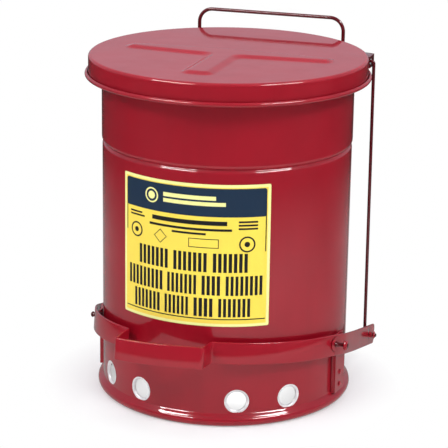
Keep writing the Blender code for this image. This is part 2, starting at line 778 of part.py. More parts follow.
def make_treadle(axis):
    strap = ribbon("treadle_strap", strap_path(), STRAP_SHEET, -1.0, "red_paint")
    y, z = TREADLE_AXIS
    pivot_bore = PIVOT_RADIUS + 1.5 * HOLE_CLEARANCE
    rod_bore = ROD_WIRE + ROD_SLACK
    holes = [
        rod_cutter("pivot_hole", pivot_bore, LONG_CUTTER, (0.0, y, z), ALONG_X, 16),
        rod_cutter("rod_hole", rod_bore, SHORT_CUTTER, (ARM_X, *ROD_FOOT), ALONG_X, 16),
    ]
    combine(strap, holes, "DIFFERENCE")
    hang(strap, axis)

    tilt = math.asin((y - STRAP_CENTRE_Y) / STRAP_RADIUS)
    face_x = STRAP_RADIUS * math.cos(tilt)
    spot = (face_x + (GAP + WASHER_THICKNESS / 2) / math.cos(tilt), y, z)
    square = Euler((0.0, math.pi / 2, tilt))
    bore = PIVOT_RADIUS + ROD_SLACK
    hang(ring("pivot_washer_right", bore, WASHER_RADIUS, WASHER_THICKNESS, spot, square, 24), axis)


def ear_path(side):
    """Plan of the bracket's upper tongue, which steps in behind the strap to the pivot."""
    pivot_y, pivot_z = TREADLE_AXIS
    web_x, web_y = polar(BRACKET_RADIUS - EAR_EXTRA, BRACKET_ANGLE)
    lean = math.radians(90.0 - BRACKET_ANGLE)
    points = []
    for along in EAR_OVERLAP:
        x = web_x - along * math.sin(lean)
        y = web_y - along * math.cos(lean)
        points.append((x, y, BRACKET_TOP - 12 * MM, pivot_z + 6 * MM))
    neck_low = pivot_z - EAR_RADIUS - 2 * MM
    points.append((EAR_FACE_X, pivot_y + EAR_NECK, neck_low, pivot_z + EAR_RADIUS))
    for i in range(7):
        turn = math.radians(90.0 * i / 6)
        half = max(EAR_RADIUS * math.cos(turn), 0.5 * MM)
        y = pivot_y - EAR_RADIUS * math.sin(turn)
        points.append((EAR_FACE_X, y, pivot_z - half, pivot_z + half))
    return [(side * x, y, low, high) for x, y, low, high in points]


def channel_path(side):
    """Plan of the bracket's channel: two flanges to the wall and a flat face between."""
    web_x, web_y = polar(BRACKET_RADIUS, BRACKET_ANGLE)
    lean = math.radians(90.0 - BRACKET_ANGLE)
    aside = BRACKET_HALF_WIDTH * math.sin(lean)
    along = BRACKET_HALF_WIDTH * math.cos(lean)
    rear = (web_x + aside, web_y + along)
    front = (web_x - aside, web_y - along)
    wall = LOWER_RADIUS + 3 * GAP
    rear_root = (math.sqrt(wall**2 - rear[1] ** 2), rear[1])
    front_root = (math.sqrt(wall**2 - front[1] ** 2), front[1])
    plan = [rear_root, rear, front, front_root]
    return [(side * x, y, BRACKET_FOOT, BRACKET_TOP) for x, y in plan]


def make_bracket(side, word):
    """The riveted bracket that carries one treadle pivot."""
    name = f"treadle_bracket_{word}"
    bracket = ribbon(name, channel_path(side), BRACKET_SHEET, side * 1.0, "red_paint")
    ear = ribbon("ear", ear_path(side), BRACKET_SHEET + EAR_EXTRA, side * 1.0)
    combine(bracket, [ear], "UNION")
    spot = (side * EAR_FACE_X, *TREADLE_AXIS)
    holes = [rod_cutter("pivot_hole", PIVOT_RADIUS + HOLE_CLEARANCE, SHORT_CUTTER, spot, ALONG_X, 16)]
    for height in BRACKET_RIVETS:
        holes.append(rivet_hole("rivet_hole", BRACKET_RADIUS, height, side * BRACKET_ANGLE))
    combine(bracket, holes, "DIFFERENCE")
    grip = BRACKET_RADIUS - LOWER_RADIUS + SHEET + 2 * GAP
    for height, level in zip(BRACKET_RIVETS, ("lower", "upper")):
        rivet(f"bracket_rivet_{word}_{level}", BRACKET_RADIUS + GAP, height, side * BRACKET_ANGLE, grip)


def inner_head():
    """Profile of a pivot's flat head inside its bracket's ear, from the shank to the middle."""
    seat = EAR_FACE_X - BRACKET_SHEET - EAR_EXTRA - GAP
    radius, thickness = PIVOT_HEAD
    return [(PIVOT_RADIUS, seat), (radius, seat), (radius, seat - thickness), (0.0, seat - thickness)]


def make_right_pivot():
    """A bolt from inside the bracket with a hexagon nut outside the washer."""
    y, z = TREADLE_AXIS
    tail = NUT_FACE_X + NUT_THICKNESS + BOLT_TAIL
    profile = [(0.0, tail), (PIVOT_RADIUS, tail)] + inner_head()
    bolt = turned("pivot_bolt_right", profile, "dark_steel", steps=16)
    bolt.location = (0.0, y, z)
    bolt.rotation_euler = ALONG_X

    bm = bmesh.new()
    corner = NUT_ACROSS_FLATS / 2 / math.cos(math.radians(30))
    bmesh.ops.create_cone(
        bm, cap_ends=True, segments=6, radius1=corner, radius2=corner, depth=NUT_THICKNESS
    )
    nut = add_object("pivot_nut_right", mesh_from("pivot_nut_right", bm), "zinc")
    nut.location = (NUT_FACE_X + NUT_THICKNESS / 2, y, z)
    nut.rotation_euler = ALONG_X
    spot = (NUT_FACE_X, y, z)
    bore = rod_cutter("nut_hole", PIVOT_RADIUS + HOLE_CLEARANCE, SHORT_CUTTER, spot, ALONG_X, 16)
    combine(nut, [bore], "DIFFERENCE")


def make_left_pivot():
    """A round-headed pin peened over inside its bracket."""
    dome = [(radius, PIN_LEFT_FACE + out) for radius, out in reversed(PIN_LEFT_HEAD)]
    profile = dome + [(PIVOT_RADIUS, PIN_LEFT_FACE)] + inner_head()
    pin = turned("pivot_pin_left", profile, "dark_steel", steps=16)
    pin.location = (0.0, *TREADLE_AXIS)
    pin.rotation_euler = Euler((0.0, -math.pi / 2, 0.0))


# ---------------------------------------------------------------- lift rod


def make_lift_rod(axis):
    """The wire that pushes the lid up: bent out through the arm, bent in through the lug."""
    foot_y, foot_z = ROD_FOOT
    hook_y, hook_z = ROD_HOOK
    points = [(ROD_OUTER_END, foot_y, foot_z)]
    for x, z in arc_points((ROD_X + WIRE_BEND, foot_z + WIRE_BEND), WIRE_BEND, 270.0, 180.0, 4):
        points.append((x, foot_y, z))
    for x, z in arc_points((ROD_X - WIRE_BEND, hook_z - WIRE_BEND), WIRE_BEND, 0.0, 90.0, 4):
        points.append((x, hook_y, z))
    points.append((ROD_INNER_END, hook_y, hook_z))
    hang(wire("lift_rod", points, ROD_WIRE), axis)
    bore = ROD_WIRE + HOLE_CLEARANCE
    spacer_spot = (ARM_X + GAP + SPACER_LENGTH / 2, foot_y, foot_z)
    lower_spot = (ARM_X + LOWER_RETAINER_OUT, foot_y, foot_z)
    upper_spot = (ROD_INNER_END + UPPER_RETAINER_IN, hook_y, hook_z)
    hang(ring("rod_spacer", bore, SPACER_RADIUS, SPACER_LENGTH, spacer_spot, ALONG_X), axis)
    hang(ring("rod_retainer_lower", bore, *LOWER_RETAINER, lower_spot, ALONG_X), axis)
    hang(ring("rod_retainer_upper", bore, *UPPER_RETAINER, upper_spot, ALONG_X), axis)


def lug_web_outline():
    """The lug's level web from above, from the tab back to the skirt."""
    tab_face = LUG_TAB_X + LUG_SHEET - 0.1 * MM
    outline = [(tab_face, LUG_TAB_Y[0] + 0.1 * MM), (tab_face, LUG_TAB_Y[1] - 0.1 * MM), LUG_WEB_BACK]
    return outline + [polar(LID_RADIUS + 2.5 * GAP, angle) for angle in LUG_WEB_ANGLES]


def lug_slot():
    """The slot in the tab, from the side."""
    middle = ROD_HOOK[0] + LUG_SLOT_SHIFT
    across = LUG_SLOT_LENGTH / 2
    up = LUG_SLOT_HEIGHT / 2
    corners = []
    for side_y, side_z in ((-1, -1), (1, -1), (1, 1), (-1, 1)):
        corners.append((middle + side_y * across, ROD_HOOK[1] + side_z * up, 0.98 * up))
    return rounded(corners, 4)


def make_lift_lug(axis):
    """The riveted lug behind the skirt whose slot takes the rod's hook."""
    low, high = LUG_TAB_Z
    flange_angles = (LUG_ANGLES[1], LUG_ANGLES[0])
    flange = curved_leaf(
        "lid_lift_lug", LID_RADIUS + GAP, flange_angles, LUG_FLANGE_BOTTOM, high - 0.1 * MM, 4
    )
    flip_sheet(flange)
    tab = [
        (LUG_TAB_Y[0], low, LUG_TAB_CORNER),
        (LUG_TAB_Y[1], low, LUG_TAB_CORNER),
        (LUG_TAB_Y[1], high, 0.0),
        (LUG_TAB_Y[0], high, 0.0),
    ]
    pieces = [
        plate("web", lug_web_outline(), LUG_SHEET, "Z", high - LUG_SHEET - 0.1 * MM),
        plate("tab", rounded(tab, 3), LUG_SHEET, "X", LUG_TAB_X),
    ]
    combine(flange, pieces, "UNION")
    cutters = [plate("slot", lug_slot(), 10 * MM, "X", LUG_TAB_X - 4 * MM)]
    for angle in LUG_RIVETS:
        cutters.append(rivet_hole("lug_hole", LID_RADIUS, LUG_RIVET_HEIGHT, angle))
    combine(flange, cutters, "DIFFERENCE")
    hang(flange, axis)
    rivet_row("lug_rivet", LUG_RIVET_HEIGHT, LUG_RIVETS, axis)


def stand_at_origin():
    """Carries the whole can on one empty, so the origin is on the floor mid-footprint."""
    stand = axis_empty("can_stand", CAN_AXIS_Y, 0.0)
    for piece in bpy.context.scene.objects:
        if piece.parent is None and piece != stand:
            piece.parent = stand


def main():
    start_scene()
    lid_axis = axis_empty("lid_axis", *LID_AXIS)
    treadle_axis = axis_empty("treadle_axis", *TREADLE_AXIS)
    rod_axis = axis_empty("rod_axis", *ROD_FOOT)
    make_body_shell()
    make_bottom_pan()
    make_label()
    make_lid(lid_axis)
    make_body_leaf()
    make_lid_leaf(lid_axis)
    make_hinge_pin()
    make_backstop_loop()
    make_treadle(treadle_axis)
    make_bracket(1, "right")
    make_bracket(-1, "left")
    make_right_pivot()
    make_left_pivot()
    make_lift_rod(rod_axis)
    make_lift_lug(lid_axis)
    stand_at_origin()


main()
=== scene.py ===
"""Looks of the oily waste can: smooth painted steel, plated hardware, a generic label and a studio.

Metres, +Z up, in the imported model's frame: pedal at -Y, hinge at +Y, lift rod on the +X side.
"""

import json
import math

import bmesh
import bpy
from mathutils import Euler, Matrix, Vector

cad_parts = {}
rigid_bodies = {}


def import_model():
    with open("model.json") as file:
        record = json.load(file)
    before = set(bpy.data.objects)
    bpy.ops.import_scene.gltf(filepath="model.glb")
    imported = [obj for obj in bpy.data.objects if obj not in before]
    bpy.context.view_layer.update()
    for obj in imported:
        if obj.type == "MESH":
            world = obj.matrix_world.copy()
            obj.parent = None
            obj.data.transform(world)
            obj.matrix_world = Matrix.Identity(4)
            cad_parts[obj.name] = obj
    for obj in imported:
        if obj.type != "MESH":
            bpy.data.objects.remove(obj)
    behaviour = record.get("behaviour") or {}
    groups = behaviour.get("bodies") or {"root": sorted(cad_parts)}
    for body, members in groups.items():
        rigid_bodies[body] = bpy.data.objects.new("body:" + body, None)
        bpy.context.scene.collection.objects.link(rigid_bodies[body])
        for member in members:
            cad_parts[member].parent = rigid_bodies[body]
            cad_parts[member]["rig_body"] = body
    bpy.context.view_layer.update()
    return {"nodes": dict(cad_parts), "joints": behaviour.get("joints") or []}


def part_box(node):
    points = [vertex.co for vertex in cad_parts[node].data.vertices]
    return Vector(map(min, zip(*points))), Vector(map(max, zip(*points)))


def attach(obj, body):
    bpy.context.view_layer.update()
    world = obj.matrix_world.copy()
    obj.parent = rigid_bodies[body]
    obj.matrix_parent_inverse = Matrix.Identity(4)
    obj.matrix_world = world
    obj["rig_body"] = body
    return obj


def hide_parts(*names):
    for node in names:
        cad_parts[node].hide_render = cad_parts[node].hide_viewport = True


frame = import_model()

MM = 0.001

SHELL_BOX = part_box("body_shell")
CAN_AXIS = Vector((0.0, (SHELL_BOX[0].y + SHELL_BOX[1].y) / 2, 0.0))


def low(node):
    """Lowest corner of a CAD node, measured from the can's axis."""
    return Vector(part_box(node)[0]) - CAN_AXIS


def high(node):
    """Highest corner of a CAD node, measured from the can's axis."""
    return Vector(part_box(node)[1]) - CAN_AXIS


def centre(node):
    return (low(node) + high(node)) / 2


# Driving sizes that come from the frame
FOOT_RADIUS = high("body_shell").x
RIM_TOP = high("body_shell").z
LIP_RADIUS = high("lid_pan").x
EMBOSS_TOP = high("lid_pan").z
JOINTS = {joint["name"]: joint for joint in frame["joints"]}
TREADLE_AXIS = Vector(JOINTS["treadle_pivot"]["pos_m"]) - CAN_AXIS
ROD_AXIS = Vector(JOINTS["rod_pivot"]["pos_m"]) - CAN_AXIS
LID_AXIS = Vector(JOINTS["lid_hinge"]["pos_m"]) - CAN_AXIS

# Can body
SHEET = 1.0 * MM
UPPER_RADIUS = 148.7 * MM
LOWER_RADIUS = 148.0 * MM
GROOVE_HEIGHT = 306.0 * MM
GROOVE_DEPTH = 2.5 * MM
GROOVE_WIDTH = 2.4 * MM
GROOVE_SPAN = 7.0 * MM
RIM_CURL = 3.2 * MM
FOOT_ROLL = 6.1 * MM
FOOT_SWEEP_TOP = 15.8 * MM
FOOT_RETURN = ((1.8 * MM, SHEET / 2), (2.6 * MM, 3.0 * MM))
RIVET_HOLE = 2.35 * MM
UPPER_WALL_AT = (380.0, 350.0, 330.0)
LOWER_WALL_AT = (
    280.0, 240.0, 200.0, 160.0, 120.0, 90.0, 70.0, 54.0, 50.0,
    46.0, 42.0, 38.0, 34.0, 30.0, 26.0, 22.0, 18.5,
)

# Vents
VENT_RADIUS = 13.6 * MM
VENT_HEIGHT = 30.0 * MM
VENT_ANGLES = (23.5, 48.3, 131.7, 156.5)
FLANGE_SHEET = 0.9 * MM
FLANGE_BEND = 2.2 * MM
FLANGE_DEPTH = 3.4 * MM
FLANGE_PROUD = 0.15 * MM
FLANGE_INSET = 0.3 * MM

# Raised floor
PAN_CORNER = 3.0 * MM
PAN_RISE = 1.2 * MM
PAN_RISE_FROM = 12.0 * MM
PAN_RISE_TO = 15.0 * MM
BARE_RISE = 4.0 * MM

# Lid
LID_RADIUS = 164.5 * MM
LID_CORNER = 3.6 * MM
LID_STEPS = 384
LID_RINGS = 139
LID_RING_GAP = 1.15 * MM
SKIRT_AT = (400.0, 395.0, 390.0)
LIP_HEIGHT = 385.6 * MM
EMBOSS_HEIGHT = 3.2 * MM
EMBOSS_RELIEF = 2.8 * MM
EMBOSS_SLOPE = 11.5 * MM
EMBOSS_FILLET = 14.0 * MM
ARM_REACH = 128.5 * MM
ARM_HALF_ROOT = 25.0 * MM
ARM_HALF_TIP = 14.0 * MM
STEM_HALF = 21.0 * MM
STEM_REACH = 126.0 * MM
STEM_CORNER = 14.0 * MM
LID_TOP = EMBOSS_TOP - EMBOSS_HEIGHT

# Treadle strap
STRAP_HALF = 12.4 * MM
STRAP_SHEET = 2.6 * MM
STRAP_EDGE = 0.9 * MM
STRAP_RADIUS = 158.5 * MM
STRAP_SHIFT = -1.0 * MM
STRAP_LEAN = 0.18
STRAP_EASE = 9.0 * MM
STRAP_LEFT_END = -5.0 * MM
STRAP_END_CORNER = 5.0 * MM
ARM_X = high("treadle_strap").x
STRAP_SIDE_VIEW = (
    (-193.0 * MM, 97.4 * MM),
    (-155.0 * MM, 93.8 * MM),
    (-120.0 * MM, 90.0 * MM),
    (-80.0 * MM, 85.0 * MM),
    (-45.0 * MM, 79.8 * MM),
    (-20.0 * MM, 73.3 * MM),
    (25.0 * MM, 61.0 * MM),
    (80.0 * MM, 47.2 * MM),
    (133.0 * MM, 34.0 * MM),
)

# Pedal, seen from above
PEDAL_LEFT = (-73.0 * MM, -189.0 * MM)
PEDAL_RIGHT = (33.0 * MM, -184.8 * MM)
PEDAL_MIDDLE = (-27.0 * MM, -192.6 * MM)
PEDAL_CORNER = 5.0 * MM
PEDAL_BEND = 3.2 * MM

# Rivets
RIVET_HEAD = 1.5 * MM
RIVET_RADIUS = 3.4 * MM
RIVET_SHANK = 2.0 * MM

# Treadle pivots
PIVOT_RADIUS = 2.6 * MM
PIVOT_HOLE = 3.1 * MM
PIVOT_HEAD = 4.4 * MM
PIVOT_HEAD_SHEET = 1.2 * MM
THREAD_PITCH = 0.8 * MM
THREAD_DEPTH = 0.38 * MM
THREAD_END = 156.0 * MM
NUT_HALF = 4.8 * MM
NUT_CHAMFER = 0.55 * MM
NUT_BORE = 2.95 * MM
PIN_DOME_RADIUS = 3.6 * MM
PIN_DOME_AT = 153.2 * MM

# Wires
LOOP_WIRE = (high("backstop_loop").y - low("backstop_loop").y) / 2
LOOP_BEND = 17.0 * MM
ROD_WIRE = 2.0 * MM
ROD_BORE = ROD_WIRE + 0.35 * MM
ROD_X = 152.2 * MM
ROD_BEND = 3.0 * MM

# Label
LABEL_ANGLES = (-34.0, 37.3)
LABEL_LOW = low("label").z
LABEL_RISE = high("label").z - LABEL_LOW
LABEL_RADIUS = LOWER_RADIUS + 0.75 * MM
LABEL_WIDTH = math.radians(LABEL_ANGLES[1] - LABEL_ANGLES[0]) * LABEL_RADIUS
LABEL_BORDER = 3.4 * MM
LABEL_RULE = 1.3 * MM
BAR_STROKE = 3.2 * MM
BAR_SPACE = 2.1 * MM
BLOCK_GAP = 0.9
# Rows of bars: left, right, bottom and top as shares of the label, and their blocks' lengths
BAR_ROWS = (
    (0.14, 0.86, 0.385, 0.520, (5, 5, 5)),
    (0.05, 0.955, 0.222, 0.360, (7, 5, 3, 6)),
    (0.10, 0.88, 0.068, 0.200, (5, 4, 3, 5)),
)
# Small blocks under the header, as shares of the label: left, bottom, right and top
SMALL_BLOCKS = (
    (0.24, 0.715, 0.73, 0.745),
    (0.22, 0.675, 0.76, 0.692),
    (0.38, 0.645, 0.60, 0.660),
    (0.06, 0.735, 0.16, 0.747),
    (0.06, 0.713, 0.18, 0.725),
    (0.80, 0.735, 0.92, 0.748),
    (0.80, 0.711, 0.92, 0.724),
    (0.80, 0.687, 0.92, 0.700),
)
# Discs inside rings: place as shares of the label, then the three radii
TARGETS = (
    (0.115, 0.615, 9.0 * MM, 7.2 * MM, 3.0 * MM),
    (0.855, 0.585, 9.5 * MM, 7.6 * MM, 3.2 * MM),
)

# Camera
CAMERA_DISTANCE = 2.1868
CAMERA_AZIMUTH = 17.5
CAMERA_HEIGHT = 0.8605
CAMERA_HEADING = 17.563
CAMERA_PITCH = 16.813
CAMERA_ROLL = 0.853
CAMERA_LENS = 152.42

# Studio lights
LIGHT_REACH = 1.80
LIGHT_HEIGHT = 1.95
LIGHT_AIM = (0.0, 0.0, 0.2)
LEFT_LIGHT = -34.0
RIGHT_LIGHT = 68.0
BOX_SIZE = (1.3, 0.30)
BOX_POWER = 48.0
WASH_SIZE = (1.0, 0.6)
LEFT_WASH = 24.0
RIGHT_WASH = 28.0
TOP_PLACE = Vector((0.0, 0.1, 2.3))
TOP_SIZE = (1.6, 1.6)
TOP_POWER = 24.0
GLOW_HEIGHT = 0.058
GLOW_SIZE = (0.16, 0.16)
GLOW_POWER = 0.16

# Studio floor and room. Each fade is two places along a measure and the values there.
FLOOR_COLOUR = (0.93, 0.93, 0.93, 1.0)
FLOOR_MIRROR_FADE = (0.70, 1.15, 1.0, 0.13)
FLOOR_MIRROR_TURN = (-0.1, 0.45, 0.33, 0.90)
FLOOR_WHITE_FADE = (0.15, 0.22, 0.30, 1.0)
ROOM_COLOUR = (0.98, 0.95, 1.08, 1.0)
ROOM_LIGHT = 0.45
ROOM_MIRROR_TURN = (-0.2, 0.7, ROOM_LIGHT, 0.14)
BACKDROP_LIGHT = 1.1

# ---------------------------------------------------------------- node helpers


def fill(tree, node, entries):
    """Sets or links a node's inputs, each given by its number or its name."""
    for entry, value in entries.items():
        if isinstance(value, bpy.types.NodeSocket):
            tree.links.new(value, node.inputs[entry])
        else:
            node.inputs[entry].default_value = value
    return node


def new_material(name):
    """A material with its node tree, its shader and the place on the object."""
    material = bpy.data.materials.new(name)
    material.use_nodes = True
    tree = material.node_tree
    where = tree.nodes.new("ShaderNodeTexCoord").outputs["Object"]
    return material, tree, tree.nodes["Principled BSDF"], where


def mix_colour(tree, factor, a, b):
    node = tree.nodes.new("ShaderNodeMix")
    node.data_type = "RGBA"
    return fill(tree, node, {0: factor, 6: a, 7: b}).outputs[2]


def mix_value(tree, factor, a, b):
    return fill(tree, tree.nodes.new("ShaderNodeMix"), {0: factor, 2: a, 3: b}).outputs[0]


def mix_shader(tree, factor, a, b):
    return fill(tree, tree.nodes.new("ShaderNodeMixShader"), {0: factor, 1: a, 2: b}).outputs[0]


def emission(tree, strength):
    return fill(tree, tree.nodes.new("ShaderNodeEmission"), {"Strength": strength}).outputs[0]


def product(tree, a, b):
    node = tree.nodes.new("ShaderNodeMath")
    node.operation = "MULTIPLY"
    return fill(tree, node, {0: a, 1: b}).outputs[0]


def dot(tree, a, b):
    """How far one direction agrees with another."""
    node = tree.nodes.new("ShaderNodeVectorMath")
    node.operation = "DOT_PRODUCT"
    return fill(tree, node, {0: a, 1: b}).outputs["Value"]


def ramp(tree, source, low_at, high_at, low_value, high_value):
    """Maps a value linearly between two ranges, clamped."""
    node = tree.nodes.new("ShaderNodeMapRange")
    entries = enumerate((source, low_at, high_at, low_value, high_value))
    return fill(tree, node, dict(entries)).outputs[0]


def noise(tree, where, scale, detail):
    node = tree.nodes.new("ShaderNodeTexNoise")
    return fill(tree, node, {"Vector": where, "Scale": scale, "Detail": detail}).outputs["Fac"]


def patches(tree, where, scale, detail, at=(0.3, 0.7), to=(0.0, 1.0)):
    """Soft patches: a noise whose range `at` is spread over the range `to`."""
    return ramp(tree, noise(tree, where, scale, detail), *at, *to)


def edge_mask(tree, radius):
    """1 along sharp edges, 0 on flat faces."""
    bevel = tree.nodes.new("ShaderNodeBevel")
    bevel.samples = 6
    bevel.inputs["Radius"].default_value = radius
    flat = tree.nodes.new("ShaderNodeNewGeometry").outputs["Normal"]
    return ramp(tree, dot(tree, flat, bevel.outputs["Normal"]), 0.99, 0.80, 0.0, 1.0)


def roughen(tree, shader, height, strength, distance, entries=("Normal",)):
    """Tiny dents, given to these normals of the shader."""
    node = tree.nodes.new("ShaderNodeBump")
    fill(tree, node, {"Strength": strength, "Distance": distance, "Height": height})
    for entry in entries:
        tree.links.new(node.outputs["Normal"], shader.inputs[entry])


# ---------------------------------------------------------------- materials


def shaded(colour, share=1.0):
    return (*[c * share for c in colour], 1.0)


def gloss_paint(name, colour, worn, roughness=0.42, coat=1.0):
    """Stoved gloss enamel: slight mottling, orange peel, softly polished coat, thin paint on edges, and
    faint upright darker streaks of painted reflection.
    """
    material, tree, shader, where = new_material(name)
    mottle = patches(tree, where, scale=14.0, detail=4.0)
    # Painted reflection: noise stretched upright darkens the paint in faint vertical streaks, standing in
    # for the reflections of a slightly wavy sheet.
    stretch = tree.nodes.new("ShaderNodeMapping")
    upright = fill(tree, stretch, {"Scale": (1.0, 1.0, 0.05), "Vector": where}).outputs["Vector"]
    painted_reflection_streaks = patches(tree, upright, scale=26.0, detail=3.0, at=(0.52, 0.68), to=(0.0, 0.55))
    specks = patches(tree, where, scale=420.0, detail=3.0, at=(0.70, 0.78), to=(0.0, 0.25))
    rubbed = patches(tree, where, scale=90.0, detail=4.0, at=(0.45, 0.7), to=(0.0, 0.45))
    base = mix_colour(tree, mottle, shaded(colour, 0.90), shaded(colour))
    base = mix_colour(tree, painted_reflection_streaks, base, shaded(colour, 0.86))
    base = mix_colour(tree, specks, base, shaded(colour, 0.7))
    base = mix_colour(tree, product(tree, edge_mask(tree, 0.5 * MM), rubbed), base, shaded(worn))
    fill(tree, shader, {
        "Base Color": base,
        "Roughness": patches(tree, where, scale=22.0, detail=5.0, to=(roughness - 0.04, roughness + 0.05)),
        "Specular IOR Level": 0.12,
        "Coat Weight": coat,
        "Coat Roughness": patches(tree, where, scale=35.0, detail=3.0, to=(0.025, 0.07)),
    })
    peel = noise(tree, where, scale=200.0, detail=1.0)
    roughen(tree, shader, peel, 0.10, 0.03 * MM, ("Normal", "Coat Normal"))
    return material


def plated_steel(name, colour, roughness, metallic=1.0):
    """Zinc plate: metallic, faintly crystalline, scuffed."""
    material, tree, shader, where = new_material(name)
    cloud = patches(tree, where, scale=120.0, detail=4.0)
    fill(tree, shader, {
        "Base Color": mix_colour(tree, cloud, shaded(colour, 0.72), shaded(colour)),
        "Metallic": metallic,
        "Roughness": patches(tree, where, scale=500.0, detail=3.0, to=(roughness - 0.08, roughness + 0.1)),
    })
    roughen(tree, shader, noise(tree, where, scale=900.0, detail=3.0), 0.15, 0.05 * MM)
    return material


def printed_film(name, colour):
    """Printed vinyl: even ink with a fine grain under a satin film."""
    material, tree, shader, where = new_material(name)
    grain = patches(tree, where, scale=700.0, detail=2.0, at=(0.35, 0.65))
    fill(tree, shader, {
        "Base Color": mix_colour(tree, grain, shaded(colour, 0.97), shaded(colour)),
        "Roughness": patches(tree, where, scale=30.0, detail=3.0, to=(0.34, 0.46)),
        "Specular IOR Level": 0.25,
    })
    roughen(tree, shader, noise(tree, where, scale=60.0, detail=2.0), 0.08, 0.03 * MM)
    return material


RED = gloss_paint("red_enamel", (0.345, 0.003, 0.014), (0.42, 0.05, 0.06))
DARK_RED = gloss_paint("dark_red_enamel", (0.105, 0.002, 0.006), (0.20, 0.02, 0.03))
INNER_RED = gloss_paint("inner_red_enamel", (0.20, 0.005, 0.010), (0.25, 0.03, 0.04), 0.45, 0.2)
GALVANISED = plated_steel("galvanised_inside", (0.86, 0.87, 0.87), 0.55)
# Bare zinc for the vent flanges, whitened nearly to white as a painted highlight round each vent's rim.
ZINC_EDGE_WITH_PAINTED_HIGHLIGHT = plated_steel("galvanised_edge_painted_highlight", (0.97, 0.95, 0.94), 0.40, 0.2)
ZINC = plated_steel("zinc_plate", (0.62, 0.60, 0.57), 0.34)
YELLOW = printed_film("label_yellow", (1.0, 0.78, 0.095))
PALE_YELLOW = printed_film("label_border", (0.98, 0.95, 0.36))
NAVY = printed_film("label_navy", (0.010, 0.030, 0.064))
BLACK = printed_film("label_black", (0.010, 0.010, 0.012))

# ---------------------------------------------------------------- shape helpers


def polar(radius, degrees):
    """The (x, y) of a point at this angle from the front, positive towards +X."""
    turn = math.radians(degrees)
    return radius * math.sin(turn), -radius * math.cos(turn)


def arc(middle, radius, start, end, count):
    """count + 1 points along an arc, angles in degrees."""
    points = []
    for i in range(count + 1):
        turn = math.radians(start + (end - start) * i / count)
        points.append((middle[0] + radius * math.cos(turn), middle[1] + radius * math.sin(turn)))
    return points


def smooth_step(value):
    value = min(max(value, 0.0), 1.0)
    return value * value * (3.0 - 2.0 * value)


def new_object(name, data):
    made = bpy.data.objects.new(name, data)
    bpy.context.scene.collection.objects.link(made)
    return made


def mesh_object(name, bm, material):
    """Turns a bmesh into an object with one material that looks smooth all over."""
    mesh = bpy.data.meshes.new(name)
    bm.to_mesh(mesh)
    bm.free()
    mesh.shade_smooth()
    mesh.materials.append(material)
    return new_object(name, mesh)


def finish_mesh(name, bm, material, sharp=32.0):
    """As mesh_object, for a closed shape: edges that turn more than `sharp` degrees stay crisp."""
    bmesh.ops.recalc_face_normals(bm, faces=bm.faces)
    made = mesh_object(name, bm, material)
    made.data.set_sharp_from_angle(angle=math.radians(sharp))
    return made


def stand_for(piece, body, slot, *nodes):
    """Stands the piece on the can's axis and rides it on a body, in place of CAD nodes."""
    piece.data.transform(Matrix.Translation(CAN_AXIS))
    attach(piece, body)
    if nodes:
        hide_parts(*nodes)
    return piece


def join_rings(bm, a, b):
    """Faces between two closed rings of equal length."""
    for i in range(len(a)):
        j = (i + 1) % len(a)
        bm.faces.new((a[i], a[j], b[j], b[i]))


def revolve(bm, section, steps, placing=Matrix()):
    """Adds a turned solid or sheet to bm from a closed (radius, height) section."""
    rings = []
    for k in range(steps):
        turn = 360.0 * k / steps
        rings.append([
            bm.verts.new(placing @ Vector((*polar(radius, turn), height))) for radius, height in section
        ])
    for k in range(steps):
        join_rings(bm, rings[k], rings[(k + 1) % steps])


def section_of_sheet(middle, thickness):
    """A closed section: the middle line of a sheet, offset to both sides."""
    outer, inner = [], []
    for i, point in enumerate(middle):
        before = Vector(middle[max(i - 1, 0)])
        after = Vector(middle[min(i + 1, len(middle) - 1)])
        along = (after - before).normalized()
        side = Vector((along.y, -along.x)) * thickness / 2
        outer.append(tuple(Vector(point) + side))
        inner.append(tuple(Vector(point) - side))
    return outer + inner[::-1]


def nose(a, b, steps=3):
    """Points that round a cut edge from a to b."""
    middle = (Vector(a) + Vector(b)) / 2
    arm = Vector(a) - middle
    points = []
    for i in range(1, steps):
        turn = -math.pi * i / steps
        points.append((
            middle.x + arm.x * math.cos(turn) - arm.y * math.sin(turn),
            middle.y + arm.x * math.sin(turn) + arm.y * math.cos(turn),
        ))
    return points


def lip_section(middle, thickness=SHEET):
    """As section_of_sheet, with the cut edge at the middle line's far end rounded."""
    flat = section_of_sheet(middle, thickness)
    count = len(middle)
    return flat[:count] + nose(flat[count - 1], flat[count]) + flat[count:]


def rounded_section(middle, thickness):
    """As section_of_sheet, with both cut edges rounded."""
    section = lip_section(middle, thickness)
    return section + nose(section[-1], section[0])


def dome(radius, top, height):
    """The profile of a rounded head, from its crown on the axis to its rim."""
    points = [(0.0, top)]
    for i in range(1, 9):
        lean = math.radians(90.0 * i / 8)
        points.append((radius * math.sin(lean), top - height + height * math.cos(lean)))
    return points


def lathe(name, profile, material, steps=48, placing=Matrix(), sharp=32.0):
    """A solid of revolution from an open (radius, height) profile that starts and ends on the axis."""
    bm = bmesh.new()
    rings = []
    for radius, height in profile:
        ring = []
        for k in range(1 if radius == 0.0 else steps):
            turn = 2 * math.pi * k / steps
            point = Vector((radius * math.cos(turn), radius * math.sin(turn), height))
            ring.append(bm.verts.new(placing @ point))
        rings.append(ring)
    for a, b in zip(rings, rings[1:]):
        for k in range(steps):
            j = (k + 1) % steps
            corners = [a[k % len(a)], a[j % len(a)], b[j % len(b)], b[k % len(b)]]
            bm.faces.new(list(dict.fromkeys(corners)))
    return finish_mesh(name, bm, material, sharp)


